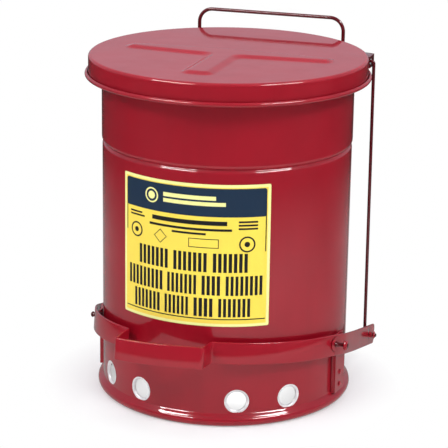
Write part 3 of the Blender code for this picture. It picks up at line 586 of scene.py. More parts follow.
def cut(piece, cutters, operation="DIFFERENCE"):
    """Applies Booleans with helper meshes, then removes the helpers."""
    for cutter in cutters:
        modifier = piece.modifiers.new("cut", "BOOLEAN")
        modifier.operation = operation
        modifier.solver = "EXACT"
        modifier.object = cutter
    bpy.context.view_layer.update()
    evaluated = piece.evaluated_get(bpy.context.evaluated_depsgraph_get())
    mesh = bpy.data.meshes.new_from_object(evaluated)
    piece.modifiers.clear()
    old = piece.data
    piece.data = mesh
    bpy.data.meshes.remove(old)
    for cutter in cutters:
        bpy.data.objects.remove(cutter, do_unlink=True)
    return piece


def place(location, rotation):
    return Matrix.Translation(location) @ rotation.to_matrix().to_4x4()


def cylinder_cutter(location, rotation, radius, length, sides=48):
    bm = bmesh.new()
    bmesh.ops.create_cone(bm, cap_ends=True, segments=sides, radius1=radius, radius2=radius, depth=length)
    bmesh.ops.transform(bm, matrix=place(location, rotation), verts=bm.verts)
    return finish_mesh("cutter", bm, RED)


def radial(degrees):
    """The rotation that points local Z away from the can's axis at this angle."""
    return Euler((0.0, math.pi / 2, math.radians(degrees - 90.0)))


def angle_of(spot):
    return math.degrees(math.atan2(spot.x, -spot.y))


def rivet_cutters(nodes, length):
    """Cutters for the holes that these rivets pass through."""
    spots = [centre(node) for node in nodes]
    return [cylinder_cutter(spot, radial(angle_of(spot)), RIVET_HOLE, length, 24) for spot in spots]


ALONG_X = Euler((0.0, math.pi / 2, 0.0))


def wire(name, points, radius, material, body, slot, node, cyclic=False):
    """Round wire along a polyline, as a smooth curve."""
    curve = bpy.data.curves.new(name, "CURVE")
    curve.dimensions = "3D"
    curve.bevel_depth = radius
    curve.bevel_resolution = 8
    curve.use_fill_caps = True
    spline = curve.splines.new("POLY")
    spline.points.add(len(points) - 1)
    for point, position in zip(spline.points, points):
        point.co = (*position, 1.0)
    spline.use_cyclic_u = cyclic
    spline.use_smooth = True
    curve.materials.append(material)
    return stand_for(new_object(name, curve), body, slot, node)


def refined(node, material, body, bevel=0.35 * MM, sharp=38.0):
    """A smooth copy of a CAD piece: welded, flat faces merged and its edges rounded."""
    bm = bmesh.new()
    bm.from_mesh(frame["nodes"][node].data)
    bmesh.ops.remove_doubles(bm, verts=bm.verts, dist=0.004 * MM)
    bmesh.ops.dissolve_limit(
        bm, angle_limit=math.radians(0.6), verts=bm.verts, edges=bm.edges, delimit={"NORMAL"}
    )
    piece = finish_mesh(node + "_finished", bm, material, sharp)
    rounding = piece.modifiers.new("rounding", "BEVEL")
    rounding.width = bevel
    rounding.segments = 2
    rounding.limit_method = "ANGLE"
    rounding.angle_limit = math.radians(sharp)
    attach(piece, body)
    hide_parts(node)
    return piece


# ---------------------------------------------------------------- can body


def body_middle():
    """Middle line of the wall from the rim's curl down through the groove to the rolled foot."""
    half = SHEET / 2
    upper = UPPER_RADIUS - half
    lower = LOWER_RADIUS - half
    curl = RIM_CURL - half
    points = arc((upper + curl, RIM_TOP - RIM_CURL), curl, -90.0, 180.0, 20)
    points += [(upper, z * MM) for z in UPPER_WALL_AT]
    steps = 36
    for i in range(steps + 1):
        offset = GROOVE_SPAN * (1 - 2 * i / steps)
        blend = smooth_step(0.5 - offset / (1.6 * GROOVE_SPAN))
        dip = GROOVE_DEPTH * math.exp(-((offset / GROOVE_WIDTH) ** 2))
        points.append((upper + (lower - upper) * blend - dip, GROOVE_HEIGHT + offset))
    return points + [(lower, z * MM) for z in LOWER_WALL_AT] + foot_middle(lower)


def foot_middle(lower):
    """The foot: the wall sweeps out over a rolled bead that stands on the floor."""
    middle = (FOOT_RADIUS - FOOT_ROLL, FOOT_ROLL)
    roll = arc(middle, FOOT_ROLL - SHEET / 2, 52.0, -90.0, 18)
    join_x, join_z = roll[0]
    sweep = []
    for i in range(1, 6):
        share = i / 6
        z = FOOT_SWEEP_TOP + (join_z - FOOT_SWEEP_TOP) * share
        sweep.append((lower + (join_x - lower) * smooth_step(share * 0.9), z))
    return sweep + roll + [(middle[0] - inward, z) for inward, z in FOOT_RETURN]


def make_body():
    bm = bmesh.new()
    revolve(bm, rounded_section(body_middle(), SHEET), 240)
    shell = finish_mesh("can_wall", bm, RED)
    through = 20 * MM
    cutters = []
    for angle in VENT_ANGLES:
        for turn in (-angle, angle):
            spot = (*polar(LOWER_RADIUS, turn), VENT_HEIGHT)
            cutters.append(cylinder_cutter(spot, radial(turn), VENT_RADIUS, through, 64))
    rivets = [node for node in frame["nodes"] if node.startswith(("bracket_rivet", "body_hinge_rivet"))]
    cut(shell, cutters + rivet_cutters(rivets, through))
    bare_inside(shell)
    stand_for(shell, "can", "red_paint", "body_shell")
    for i, angle in enumerate(VENT_ANGLES):
        for side, mark in ((-1, "left"), (1, "right")):
            make_vent_flange(f"vent_flange_{mark}_{i + 1}", side * angle)


def bare_inside(piece):
    """The faces under the raised floor are bare galvanised sheet, not painted."""
    piece.data.materials.append(GALVANISED)
    ceiling = low("bottom_pan").z + BARE_RISE
    for face in piece.data.polygons:
        across = Vector((face.center.x, face.center.y, 0.0))
        inward = across.length > 0 and face.normal.dot(across.normalized()) < -0.5
        if face.center.z < ceiling and across.length < LOWER_RADIUS and (inward or face.normal.z < -0.9):
            face.material_index = len(piece.data.materials) - 1


def make_vent_flange(name, angle):
    """The vent's edge, turned inwards all round, in bare zinc whitened as a painted highlight on its rim.
    """
    outer = LOWER_RADIUS + FLANGE_PROUD
    crest = outer - FLANGE_BEND - FLANGE_SHEET / 2
    middle = arc((VENT_RADIUS + FLANGE_INSET, crest), FLANGE_BEND, 75.0, 180.0, 10)
    middle.append((middle[-1][0], outer - FLANGE_DEPTH))
    bm = bmesh.new()
    placing = place((0.0, 0.0, VENT_HEIGHT), radial(angle))
    revolve(bm, rounded_section(middle, FLANGE_SHEET), 64, placing)
    flange = finish_mesh(name, bm, ZINC_EDGE_WITH_PAINTED_HIGHLIGHT)
    for vert in flange.data.vertices:
        settle_on_wall(vert, angle)
    stand_for(flange, "can", "zinc")


def settle_on_wall(vert, angle):
    """Moves a point inwards by the wall's fall-away from the plane that touches it at this angle."""
    outward = Vector((*polar(1.0, angle), 0.0))
    along = Vector((outward.y, -outward.x, 0.0))
    aside = vert.co.dot(along)
    vert.co -= outward * (LOWER_RADIUS - math.sqrt(LOWER_RADIUS ** 2 - aside ** 2))


def make_pan():
    """The raised floor, dished slightly, with its flange up against the wall."""
    outer = high("bottom_pan").x - SHEET / 2
    top = high("bottom_pan").z - 0.2 * MM
    floor_z = low("bottom_pan").z + SHEET / 2
    bend = (outer - PAN_CORNER, floor_z + PAN_CORNER)
    middle = [(outer, top)] + arc(bend, PAN_CORNER, 0.0, -90.0, 8)
    middle.append((outer - PAN_RISE_FROM, floor_z))
    middle += [(x, floor_z + PAN_RISE) for x in (outer - PAN_RISE_TO, 60 * MM, 0.8 * MM)]
    bm = bmesh.new()
    revolve(bm, section_of_sheet(middle, SHEET * 0.9), 160)
    pan = finish_mesh("raised_floor", bm, INNER_RED)
    bare_inside(pan)
    return stand_for(pan, "can", "dark_red_paint", "bottom_pan")


# ---------------------------------------------------------------- lid


def emboss_distance(x, y):
    """Distance to the edge of the T seen from above, negative inside it."""
    side = abs(x)
    half = ARM_HALF_ROOT + (ARM_HALF_TIP - ARM_HALF_ROOT) * min(side / ARM_REACH, 1.0)
    arm = rounded_box(side, y, ARM_REACH, half, 0.8 * ARM_HALF_TIP)
    stem = rounded_box(x, y + STEM_REACH / 2, STEM_HALF, STEM_REACH / 2, STEM_CORNER)
    overlap = max(EMBOSS_FILLET - abs(arm - stem), 0.0) / EMBOSS_FILLET
    return min(arm, stem) - overlap * overlap * EMBOSS_FILLET / 4


def rounded_box(x, y, half_x, half_y, corner):
    """Distance to a rounded rectangle about the origin, negative inside it."""
    across = abs(x) - half_x + corner
    along = abs(y) - half_y + corner
    return math.hypot(max(across, 0.0), max(along, 0.0)) + min(max(across, along), 0.0) - corner


def emboss_height(x, y):
    """The T's sides rise gently from the lid to its flat top."""
    depth = -emboss_distance(x, y) / EMBOSS_SLOPE
    return EMBOSS_RELIEF * smooth_step(depth)


def lid_middle():
    """Middle line of the lid from its hub over the corner and skirt to the rolled lip."""
    half = SHEET / 2
    skirt = LID_RADIUS - half
    roll = (LIP_RADIUS - LID_RADIUS + SHEET) / 2 - half
    points = [(i * LID_RING_GAP, LID_TOP - half) for i in range(1, LID_RINGS + 1)]
    points += arc((LID_RADIUS - LID_CORNER, LID_TOP - LID_CORNER), LID_CORNER - half, 90.0, 0.0, 10)
    points += [(skirt, z * MM) for z in SKIRT_AT]
    return points + arc((skirt + roll, LIP_HEIGHT), roll, 180.0, 450.0, 26)


def make_lid():
    """The pressed lid: outside and inside surfaces of one sheet, joined round the lip's edge."""
    section = lip_section(lid_middle())
    bm = bmesh.new()
    hub = emboss_height(0.0, 0.0)
    hub_inner = bm.verts.new((0.0, 0.0, LID_TOP - SHEET + hub))
    hub_outer = bm.verts.new((0.0, 0.0, LID_TOP + hub))
    rings = []
    for k in range(LID_STEPS):
        ring = []
        for radius, height in section:
            x, y = polar(radius, 360.0 * k / LID_STEPS)
            lift = emboss_height(x, y) if height > LID_TOP - 1.5 * SHEET else 0.0
            ring.append(bm.verts.new((x, y, height + lift)))
        rings.append(ring)
    for k in range(LID_STEPS):
        here, after = rings[k], rings[(k + 1) % LID_STEPS]
        for i in range(len(section) - 1):
            bm.faces.new((here[i], here[i + 1], after[i + 1], after[i]))
        bm.faces.new((hub_inner, here[0], after[0]))
        bm.faces.new((hub_outer, after[-1], here[-1]))
    lid = finish_mesh("lid_shell", bm, RED)
    rivets = ("lid_hinge_rivet_1", "lid_hinge_rivet_2", "lug_rivet_1", "lug_rivet_2")
    cut(lid, rivet_cutters(rivets, 14 * MM))
    return stand_for(lid, "lid", "red_paint", "lid_pan")


# ---------------------------------------------------------------- treadle


def strap_middle(y):
    """Height of the strap's centre line in side view, its kinks eased."""
    shifts = (-1.0, -0.5, 0.0, 0.5, 1.0)
    return sum(side_view_height(y + shift * STRAP_EASE) for shift in shifts) / len(shifts)


def side_view_height(y):
    for (y0, z0), (y1, z1) in zip(STRAP_SIDE_VIEW, STRAP_SIDE_VIEW[1:]):
        if y <= y1 or y1 == STRAP_SIDE_VIEW[-1][0]:
            return z0 + (z1 - z0) * (y - y0) / (y1 - y0)


def strap_angle(x):
    """Where on the strap's arc, in degrees from the front, it is this far to the side."""
    return math.degrees(math.asin(x / STRAP_RADIUS))


def strap_arc(start, stop, count=56):
    points = []
    for i in range(count + 1):
        x, y = polar(STRAP_RADIUS, start + (stop - start) * i / count)
        points.append((x, y + STRAP_SHIFT))
    return points


def strap_plan():
    """Outer face of the strap from above, from the left pivot round the pedal to the lift arm."""
    left_start = -(90.0 + strap_angle(STRAP_LEFT_END - STRAP_SHIFT))
    left = strap_arc(left_start, strap_angle(PEDAL_LEFT[0] - MM))
    right = strap_arc(strap_angle(PEDAL_RIGHT[0] + MM), strap_angle(ARM_X))
    plan = round_into(round_into(left, pedal_plan()), right)
    return plan + [(ARM_X, y * MM) for y in range(0, 125, 6)]


def round_into(first, second):
    """Joins two plan lines with a small inside bend in place of their sharp meeting."""
    corner = Vector(line_meeting(first[-2:], second[:2]))
    before = trimmed(first, corner)
    after = trimmed(second[::-1], corner)[::-1]
    start, end = Vector(before[-1]), Vector(after[0])
    curve = []
    for i in range(1, 8):
        t = i / 8
        curve.append(tuple(start * (1 - t) ** 2 + corner * 2 * t * (1 - t) + end * t * t))
    return before + curve + after


def trimmed(line, corner):
    """The line without its points near the corner, ended exactly one bend away from it."""
    kept = [p for p in line if (Vector(p) - corner).length > PEDAL_BEND + 0.4 * MM]
    towards = (corner - Vector(kept[-1])).normalized()
    return kept + [tuple(corner - towards * PEDAL_BEND)]


def line_meeting(a, b):
    """Where the straight lines through two pairs of points meet."""
    p, r = Vector(a[0]), Vector(a[1]) - Vector(a[0])
    q, s = Vector(b[0]), Vector(b[1]) - Vector(b[0])
    cross = r.x * s.y - r.y * s.x
    share = ((q - p).x * s.y - (q - p).y * s.x) / cross
    return tuple(p + r * share)


def pedal_plan():
    """The pedal's plan: legs, two rounded corners and a face that bows forward."""
    left_x, left_y = PEDAL_LEFT
    right_x, right_y = PEDAL_RIGHT
    corner = PEDAL_CORNER
    left = arc((left_x + corner, left_y + corner), corner, 180.0, 265.0, 12)
    right = arc((right_x - corner, right_y + corner), corner, 277.0, 360.0, 12)
    start, end = Vector(left[-1]), Vector(right[0])
    share = (PEDAL_MIDDLE[0] - start.x) / (end.x - start.x)
    bow = (PEDAL_MIDDLE[1] - start.lerp(end, share).y) / (4 * share * (1 - share))
    face = []
    for i in range(1, 40):
        t = i / 40
        spot = start.lerp(end, t)
        face.append((spot.x, spot.y + bow * 4 * t * (1 - t)))
    leg_left = [(left_x - inward * MM, -y * MM) for inward, y in ((0.8, 146.0), (0.5, 160.0), (0.0, 178.0))]
    leg_right = [(right_x + outward * MM, -y * MM) for outward, y in ((0.2, 174.0), (0.9, 161.0))]
    return leg_left + left + face + right + leg_right


def strap_section(half_height):
    """The strip's section as (depth behind its outer face, height), with rounded edges."""
    edge = min(STRAP_EDGE, half_height * 0.5)
    return rounded_loop(0.0, -half_height, STRAP_SHEET, half_height, edge, 3)


def rounded_loop(left, bottom, right, top, corner, steps):
    """A rectangle with rounded corners, from its top right corner round to the left."""
    loop = []
    for i, (x, y) in enumerate((
        (right - corner, top - corner), (left + corner, top - corner),
        (left + corner, bottom + corner), (right - corner, bottom + corner),
    )):
        loop += arc((x, y), corner, 90.0 * i, 90.0 * (i + 1), steps)
    return loop


def make_strap():
    plan = strap_plan()
    end_y = high("treadle_strap").y
    corner = STRAP_END_CORNER
    columns = [(x, y, STRAP_HALF) for x, y in plan]
    for along, rise in arc((end_y - corner, STRAP_HALF - corner), corner, 90.0, 0.0, 12):
        columns.append((ARM_X, along, rise))
    bm = bmesh.new()
    rings = []
    for i, (x, y, half_height) in enumerate(columns):
        before = Vector(columns[max(i - 1, 0)][:2])
        after = Vector(columns[min(i + 1, len(columns) - 1)][:2])
        along = (after - before).normalized()
        inward = Vector((-along.y, along.x))
        ring = []
        for depth, height in strap_section(half_height):
            spot = Vector((x, y)) + inward * depth
            ring.append(bm.verts.new((spot.x, spot.y + STRAP_LEAN * height, strap_middle(y) + height)))
        rings.append(ring)
    for a, b in zip(rings, rings[1:]):
        join_rings(bm, a, b)
    bm.faces.new(rings[0])
    bm.faces.new(rings[-1][::-1])
    strap = finish_mesh("treadle_strip", bm, RED, 40.0)
    pivot = Vector((0.0, TREADLE_AXIS.y, TREADLE_AXIS.z))
    rod = Vector((ARM_X, ROD_AXIS.y, ROD_AXIS.z))
    cut(strap, [
        cylinder_cutter(pivot, ALONG_X, PIVOT_HOLE, 400 * MM, 32),
        cylinder_cutter(rod, ALONG_X, ROD_WIRE + 0.8 * MM, 30 * MM, 32),
    ])
    return stand_for(strap, "treadle", "red_paint", "treadle_strap")


# ---------------------------------------------------------------- hardware


def make_rivets():
    """Domed, painted rivet heads with formed tails."""
    for node in sorted(frame["nodes"]):
        if "rivet_" not in node:
            continue
        spot = centre(node)
        turn = angle_of(spot)
        out = Vector((*polar(1.0, turn), 0.0))
        corners = [v.co - CAN_AXIS for v in frame["nodes"][node].data.vertices]
        reach = [Vector((c.x, c.y, 0.0)).dot(out) for c in corners]
        crown, tail_end = max(reach), min(reach)
        profile = dome(RIVET_RADIUS, crown, RIVET_HEAD) + [
            (RIVET_SHANK, crown - RIVET_HEAD),
            (RIVET_SHANK, tail_end + 1.0 * MM),
            (0.85 * RIVET_RADIUS, tail_end + 1.0 * MM),
            (0.75 * RIVET_RADIUS, tail_end + 0.2 * MM),
            (0.6 * RIVET_RADIUS, tail_end),
            (0.0, tail_end),
        ]
        placing = place((0.0, 0.0, spot.z), radial(turn))
        made = lathe(node + "_head", profile, RED, 32, placing)
        stand_for(made, frame["nodes"][node]["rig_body"], "red_paint", node)


def make_ring(name, node, section, material, body, rotation=ALONG_X):
    """A turned ring about a CAD node's middle."""
    bm = bmesh.new()
    revolve(bm, section, 48, place(centre(node), rotation))
    return stand_for(finish_mesh(name, bm, material), body, "zinc", node)


def washer_section(inner, outer, thickness):
    """A washer, sleeve or push-on cap with softened edges."""
    half = thickness / 2
    soft = min(0.3 * MM, half * 0.4)
    return [
        (inner, half), (outer - soft, half), (outer, half - soft),
        (outer, -half + soft), (outer - soft, -half), (inner, -half),
    ]


def push_on_section(outer, thickness):
    """A dished push-on retainer with a raised collar round the rod."""
    half = thickness / 2
    edge = outer - 0.3 * MM
    return [
        (ROD_BORE, half), (ROD_BORE + 0.8 * MM, half), (ROD_BORE + 1.2 * MM, 0.2 * half),
        (edge, -0.2 * half), (outer, -0.5 * half), (edge, -half), (ROD_BORE, -half),
    ]


def make_pivots():
    """The right pivot's bolt, washer and nut, and the left pivot's headed pin."""
    y, z = TREADLE_AXIS.y, TREADLE_AXIS.z
    shoulder = low("pivot_bolt_right").x
    end = high("pivot_bolt_right").x
    profile = [(0.0, end), (PIVOT_RADIUS - 0.5 * MM, end)]
    x = end - 0.3 * MM
    for _ in range(int((end - THREAD_END) / THREAD_PITCH)):
        profile += [(PIVOT_RADIUS, x), (PIVOT_RADIUS - THREAD_DEPTH, x - THREAD_PITCH / 2)]
        x -= THREAD_PITCH
    face = shoulder + PIVOT_HEAD_SHEET
    profile += [
        (PIVOT_RADIUS, x), (PIVOT_RADIUS, face), (PIVOT_HEAD, face),
        (PIVOT_HEAD, shoulder + 0.3 * MM), (4.0 * MM, shoulder), (0.0, shoulder),
    ]
    bolt = lathe("pivot_bolt", profile, DARK_RED, 40, place((0.0, y, z), ALONG_X))
    stand_for(bolt, "can", "dark_steel", "pivot_bolt_right")
    make_nut(y, z)

    tip, inner = -low("pivot_pin_left").x, -high("pivot_pin_left").x
    face = inner + PIVOT_HEAD_SHEET
    profile = dome(PIN_DOME_RADIUS, tip, tip - PIN_DOME_AT)
    profile += [
        (PIVOT_RADIUS, PIN_DOME_AT), (PIVOT_RADIUS, face),
        (PIVOT_HEAD, face), (4.2 * MM, inner), (0.0, inner),
    ]
    placing = place((0.0, y, z), Euler((0.0, -math.pi / 2, 0.0)))
    stand_for(lathe("pivot_pin", profile, DARK_RED, 40, placing), "can", "dark_steel", "pivot_pin_left")

    tilt = math.radians(strap_angle(y - STRAP_SHIFT))
    make_ring(
        "pivot_washer", "pivot_washer_right", washer_section(3.4 * MM, 8.4 * MM, 1.5 * MM), RED, "treadle",
        Euler((0.0, math.pi / 2, tilt)),
    )


def make_nut(y, z):
    """A hex nut with chamfered corners and a plain bore."""
    x = centre("pivot_nut_right").x
    thickness = high("pivot_nut_right").x - low("pivot_nut_right").x
    corner = NUT_HALF / math.cos(math.radians(30))
    half = thickness / 2
    placing = place((x, y, z), ALONG_X)
    bm = bmesh.new()
    bmesh.ops.create_cone(bm, cap_ends=True, segments=6, radius1=corner, radius2=corner, depth=thickness)
    bmesh.ops.transform(bm, matrix=placing, verts=bm.verts)
    nut = finish_mesh("pivot_nut", bm, RED, 25.0)
    face, clear = NUT_HALF - 0.2 * MM, corner + 0.2 * MM
    cone_section = [
        (0.0, half), (face, half), (clear, half - NUT_CHAMFER),
        (clear, -half + NUT_CHAMFER), (face, -half), (0.0, -half),
    ]
    cut(nut, [lathe("crown", cone_section, RED, 64, placing)], "INTERSECT")
    cut(nut, [cylinder_cutter((x, y, z), ALONG_X, NUT_BORE, 3 * thickness, 40)])
    return stand_for(nut, "can", "zinc", "pivot_nut_right")


def make_hinge_pin():
    """The lid's hinge pin, headed at its right end, and the push-on cap at its left end."""
    right, left = high("hinge_pin").x, low("hinge_pin").x
    shoulder = right - 2.0 * MM
    shank, head = 2.2 * MM, 4.2 * MM
    profile = [
        (0.0, right), (2.4 * MM, right), (3.6 * MM, right - 0.4 * MM), (head, right - 1.0 * MM),
        (head, shoulder), (shank, shoulder), (shank, left + 0.5 * MM), (1.7 * MM, left), (0.0, left),
    ]
    pin = lathe("lid_hinge_pin", profile, ZINC, 40, place((0.0, LID_AXIS.y, LID_AXIS.z), ALONG_X))
    stand_for(pin, "can", "zinc", "hinge_pin")
    make_ring("lid_hinge_cap", "hinge_pin_cap", washer_section(2.55 * MM, head, 1.6 * MM), ZINC, "can")


# ---------------------------------------------------------------- wires


def make_loop():
    """The backstop loop: a closed rectangle of wire with wide bends."""
    top = high("backstop_loop").z - LOOP_WIRE
    bottom = low("backstop_loop").z + LOOP_WIRE
    half = high("backstop_loop").x - LOOP_WIRE
    y = centre("backstop_loop").y
    path = [(x, y, z) for x, z in rounded_loop(-half, bottom, half, top, LOOP_BEND, 14)]
    wire("backstop_wire", path, LOOP_WIRE, DARK_RED, "can", "dark_red_paint", "backstop_loop", True)


def make_rod():
    """The lift rod: out through the treadle arm at its foot, in through the lid's lug at its top."""
    foot_y, foot_z = ROD_AXIS.y, ROD_AXIS.z
    hook_z = high("lift_rod").z - ROD_WIRE
    hook_y = low("lift_rod").y + ROD_WIRE
    foot = arc((ROD_X + ROD_BEND, foot_z + ROD_BEND), ROD_BEND, 270.0, 180.0, 12)
    hook = arc((ROD_X - ROD_BEND, hook_z - ROD_BEND), ROD_BEND, 0.0, 90.0, 12)
    points = [(high("lift_rod").x, foot_y, foot_z)]
    points += [(x, foot_y, z) for x, z in foot] + [(x, hook_y, z) for x, z in hook]
    points.append((low("lift_rod").x, hook_y, hook_z))
    wire("lift_wire", points, ROD_WIRE, DARK_RED, "rod", "dark_red_paint", "lift_rod")
    make_ring("rod_sleeve", "rod_spacer", washer_section(ROD_BORE, 3.6 * MM, 4.8 * MM), RED, "rod")
    make_ring("rod_cap_lower", "rod_retainer_lower", push_on_section(4.7 * MM, 1.8 * MM), RED, "rod")
    make_ring("rod_cap_upper", "rod_retainer_upper", push_on_section(3.7 * MM, 1.6 * MM), DARK_RED, "rod")


# ---------------------------------------------------------------- label


def on_wall(across, up, layer):
    """A label point: distance from its left edge, height above its foot, and print layer."""
    turn = LABEL_ANGLES[0] + math.degrees(across / LABEL_RADIUS)
    radius = LABEL_RADIUS - 0.25 * MM + 0.04 * MM * layer
    return (*polar(radius, turn), LABEL_LOW + up)


def print_shape(name, loops, layer, material, parent=None):
    """A thin printed shape, given as closed loops of (across, up), wrapped onto the wall."""
    bm = bmesh.new()
    for loop in loops:
        face = bm.faces.new([bm.verts.new((across, up, 0.0)) for across, up in loop])
        face.normal_update()
        if face.normal.z < 0:
            face.normal_flip()
    step = 2.5 * MM
    for i in range(1, int(LABEL_WIDTH / step) + 1):
        bmesh.ops.bisect_plane(
            bm, geom=bm.verts[:] + bm.edges[:] + bm.faces[:], dist=1e-7,
            plane_co=(i * step, 0.0, 0.0), plane_no=(1.0, 0.0, 0.0),
        )
    for vert in bm.verts:
        vert.co = Vector(on_wall(vert.co.x, vert.co.y, layer)) + CAN_AXIS
    made = mesh_object(name, bm, material)
    if parent:
        made.parent = parent
    return made


def box_loop(left, bottom, right, top):
    return [(left, bottom), (right, bottom), (right, top), (left, top)]


def share_loop(left, bottom, right, top):
    """A box given as shares of the label's width and height."""
    return box_loop(LABEL_WIDTH * left, LABEL_RISE * bottom, LABEL_WIDTH * right, LABEL_RISE * top)


def frame_loops(left, bottom, right, top, line):
    """A rectangular outline as four bars."""
    return [
        box_loop(left, bottom, right, bottom + line),
        box_loop(left, top - line, right, top),
        box_loop(left, bottom + line, left + line, top - line),
        box_loop(right - line, bottom + line, right, top - line),
    ]


def disc_loop(x, y, radius, sides=28):
    return arc((x, y), radius, 0.0, 360.0, sides)[:-1]


def ring_loops(x, y, outer, inner, sides=24):
    """A ring, or with few sides a polygon outline, as quads."""
    rims = list(zip(arc((x, y), inner, 0.0, 360.0, sides), arc((x, y), outer, 0.0, 360.0, sides)))
    return [[a[0], a[1], b[1], b[0]] for a, b in zip(rims, rims[1:])]


def bar_row(left, right, bottom, top, blocks):
    """A row of upright bars in blocks: an abstract filler pattern, not lettering."""
    loops = []
    unit = (right - left) / (sum(blocks) + BLOCK_GAP * (len(blocks) - 1))
    x = left
    for block in blocks:
        end = x + block * unit
        bars = max(int(round(block * unit / (BAR_STROKE + BAR_SPACE))), 1)
        pitch = (end - x + BAR_SPACE) / bars
        for i in range(bars):
            start = x + i * pitch
            loops.append(box_loop(start, bottom, start + pitch - BAR_SPACE, top))
        x = end + BLOCK_GAP * unit
    return loops


def make_label():
    """A generic printed label: header band with a plain disc, small marks and rows of plain bars."""
    w, h = LABEL_WIDTH, LABEL_RISE
    sheet = print_shape("label_sheet", [rounded_loop(0.0, 0.0, w, h, 2.0 * MM, 4)], 0, PALE_YELLOW)
    edge = LABEL_BORDER
    inset = edge + 1.2 * MM
    band = h * 0.775
    header = rounded_loop(inset, band, w - inset, h - inset, 3.0 * MM, 4)
    print_shape("label_field", [box_loop(edge, edge, w - edge, h - edge)], 1, YELLOW, sheet)
    print_shape("label_header", [header], 2, NAVY, sheet)
    line = LABEL_RULE
    under, foot = band + 4.0 * MM, 8.0 * MM
    rules = [
        box_loop(inset, h * 0.60, inset + line, under),
        box_loop(w - inset - line, h * 0.53, w - inset, under),
        box_loop(inset, foot, w - inset, foot + line),
    ]
    print_shape("label_rules", rules, 2, BLACK, sheet)
    mid = band + (h - edge - band) * 0.52
    disc_x = w * 0.235
    emblem = ring_loops(disc_x, mid, 9.0 * MM, 7.2 * MM) + [
        disc_loop(disc_x, mid, 4.6 * MM),
        box_loop(w * 0.32, mid - 5.5 * MM, w * 0.72, mid - 1.0 * MM),
        box_loop(w * 0.32, mid + 1.2 * MM, w * 0.66, mid + 6.0 * MM),
    ]
    print_shape("label_emblem", emblem, 3, PALE_YELLOW, sheet)
    print_shape("label_small_bars", [share_loop(*block) for block in SMALL_BLOCKS], 2, BLACK, sheet)
    marks = ring_loops(w * 0.30, h * 0.605, 8.5 * MM, 7.3 * MM, 4)
    marks += frame_loops(w * 0.49, h * 0.555, w * 0.68, h * 0.62, 0.9 * MM)
    for x, y, outer, inner, disc in TARGETS:
        marks += ring_loops(w * x, h * y, outer, inner) + [disc_loop(w * x, h * y, disc)]
    print_shape("label_marks", marks, 2, BLACK, sheet)
    rows = []
    for left, right, bottom, top, blocks in BAR_ROWS:
        rows += bar_row(w * left, w * right, h * bottom, h * top, blocks)
    print_shape("label_bars", rows, 2, BLACK, sheet)
    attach(sheet, "can")
    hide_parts("label")


# ---------------------------------------------------------------- studio


TO_CAMERA = (*polar(1.0, CAMERA_AZIMUTH), 0.0)


def make_floor():
    """A pale floor. The camera sees it white away from the can, and the paint sees it bright only
    near the can, more so on the camera's side.
    """
    bm = bmesh.new()
    bmesh.ops.create_grid(bm, x_segments=1, y_segments=1, size=8.0)
    material, tree, shader, where = new_material("studio_floor")
    fill(tree, shader, {"Base Color": FLOOR_COLOUR, "Roughness": 0.7, "Specular IOR Level": 0.2})
    length = tree.nodes.new("ShaderNodeVectorMath")
    length.operation = "LENGTH"
    away = fill(tree, length, {0: where}).outputs["Value"]
    ahead = dot(tree, where, TO_CAMERA)
    ray = tree.nodes.new("ShaderNodeLightPath").outputs
    white = product(tree, ramp(tree, away, *FLOOR_WHITE_FADE), ray["Is Camera Ray"])
    seen = mix_shader(tree, white, shader.outputs[0], emission(tree, 1.0))
    glow = product(tree, ramp(tree, away, *FLOOR_MIRROR_FADE), ramp(tree, ahead, *FLOOR_MIRROR_TURN))
    surface = mix_shader(tree, ray["Is Glossy Ray"], seen, emission(tree, glow))
    tree.links.new(surface, tree.nodes["Material Output"].inputs["Surface"])
    finish_mesh("floor", bm, material)


def make_room():
    """A dim surround, darker in reflections on the camera's side, and white to the camera itself."""
    world = bpy.data.worlds.new("studio")
    bpy.context.scene.world = world
    world.use_nodes = True
    tree = world.node_tree
    ray = tree.nodes.new("ShaderNodeLightPath").outputs
    towards = dot(tree, tree.nodes.new("ShaderNodeTexCoord").outputs["Generated"], TO_CAMERA)
    mirrored = ramp(tree, towards, *ROOM_MIRROR_TURN)
    room = mix_value(tree, ray["Is Glossy Ray"], ROOM_LIGHT, mirrored)
    strength = mix_value(tree, ray["Is Camera Ray"], room, BACKDROP_LIGHT)
    fill(tree, tree.nodes["Background"], {"Color": ROOM_COLOUR, "Strength": strength})


def area_light(name, location, target, size, power):
    light = bpy.data.lights.new(name, "AREA")
    light.shape = "RECTANGLE"
    light.size, light.size_y = size
    light.energy = power
    made = new_object(name, light)
    made.location = location
    made.rotation_euler = (Vector(target) - Vector(location)).to_track_quat("-Z", "Y").to_euler()
    return made


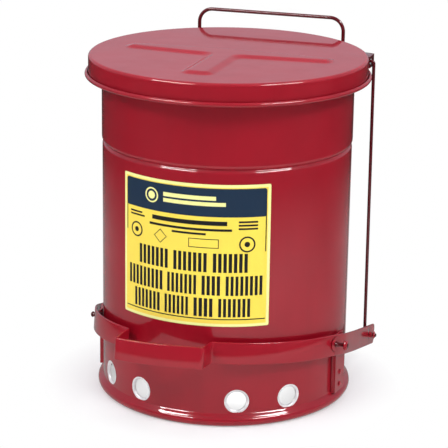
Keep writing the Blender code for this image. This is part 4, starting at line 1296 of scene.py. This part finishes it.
def make_lights():
    """Two narrow boxes that only the gloss reflects, a soft wash from each of their places and from
    above that only lights the paint, and a small glow under the raised floor.
    """
    for name, azimuth, wash in (("left", LEFT_LIGHT, LEFT_WASH), ("right", RIGHT_LIGHT, RIGHT_WASH)):
        spot = (*polar(LIGHT_REACH, azimuth), LIGHT_HEIGHT)
        box = area_light(f"{name}_box", spot, LIGHT_AIM, BOX_SIZE, BOX_POWER)
        box.visible_diffuse = False
        soft = area_light(f"{name}_wash", spot, LIGHT_AIM, WASH_SIZE, wash)
        soft.visible_glossy = False
    below = (TOP_PLACE.x, TOP_PLACE.y, 0.0)
    top = area_light("top_box", TOP_PLACE, below, TOP_SIZE, TOP_POWER)
    top.visible_glossy = False
    glow = CAN_AXIS + Vector((0.0, 0.0, GLOW_HEIGHT))
    area_light("base_glow", glow, CAN_AXIS, GLOW_SIZE, GLOW_POWER)


def make_camera():
    camera = new_object("camera", bpy.data.cameras.new("camera"))
    camera.data.lens = CAMERA_LENS
    camera.data.sensor_width = 36.0
    spot = Vector((*polar(CAMERA_DISTANCE, CAMERA_AZIMUTH), CAMERA_HEIGHT))
    aim = (
        Matrix.Rotation(math.radians(CAMERA_HEADING), 4, "Z")
        @ Matrix.Rotation(math.radians(90.0 - CAMERA_PITCH), 4, "X")
        @ Matrix.Rotation(math.radians(CAMERA_ROLL), 4, "Z")
    )
    camera.matrix_world = Matrix.Translation(CAN_AXIS + spot) @ aim
    bpy.context.scene.camera = camera


# ---------------------------------------------------------------- build


make_body()
make_pan()
make_lid()
make_label()
make_strap()
make_rivets()
make_pivots()
make_hinge_pin()
make_loop()
make_rod()
for cad_node, rides in (
    ("treadle_bracket_right", "can"),
    ("treadle_bracket_left", "can"),
    ("body_hinge_leaf", "can"),
    ("lid_hinge_leaf", "lid"),
):
    refined(cad_node, RED, rides)
refined("lid_lift_lug", DARK_RED, "lid")
make_floor()
make_room()
make_lights()
make_camera()
bpy.context.scene.view_settings.view_transform = "Standard"

bpy.context.view_layer.update()
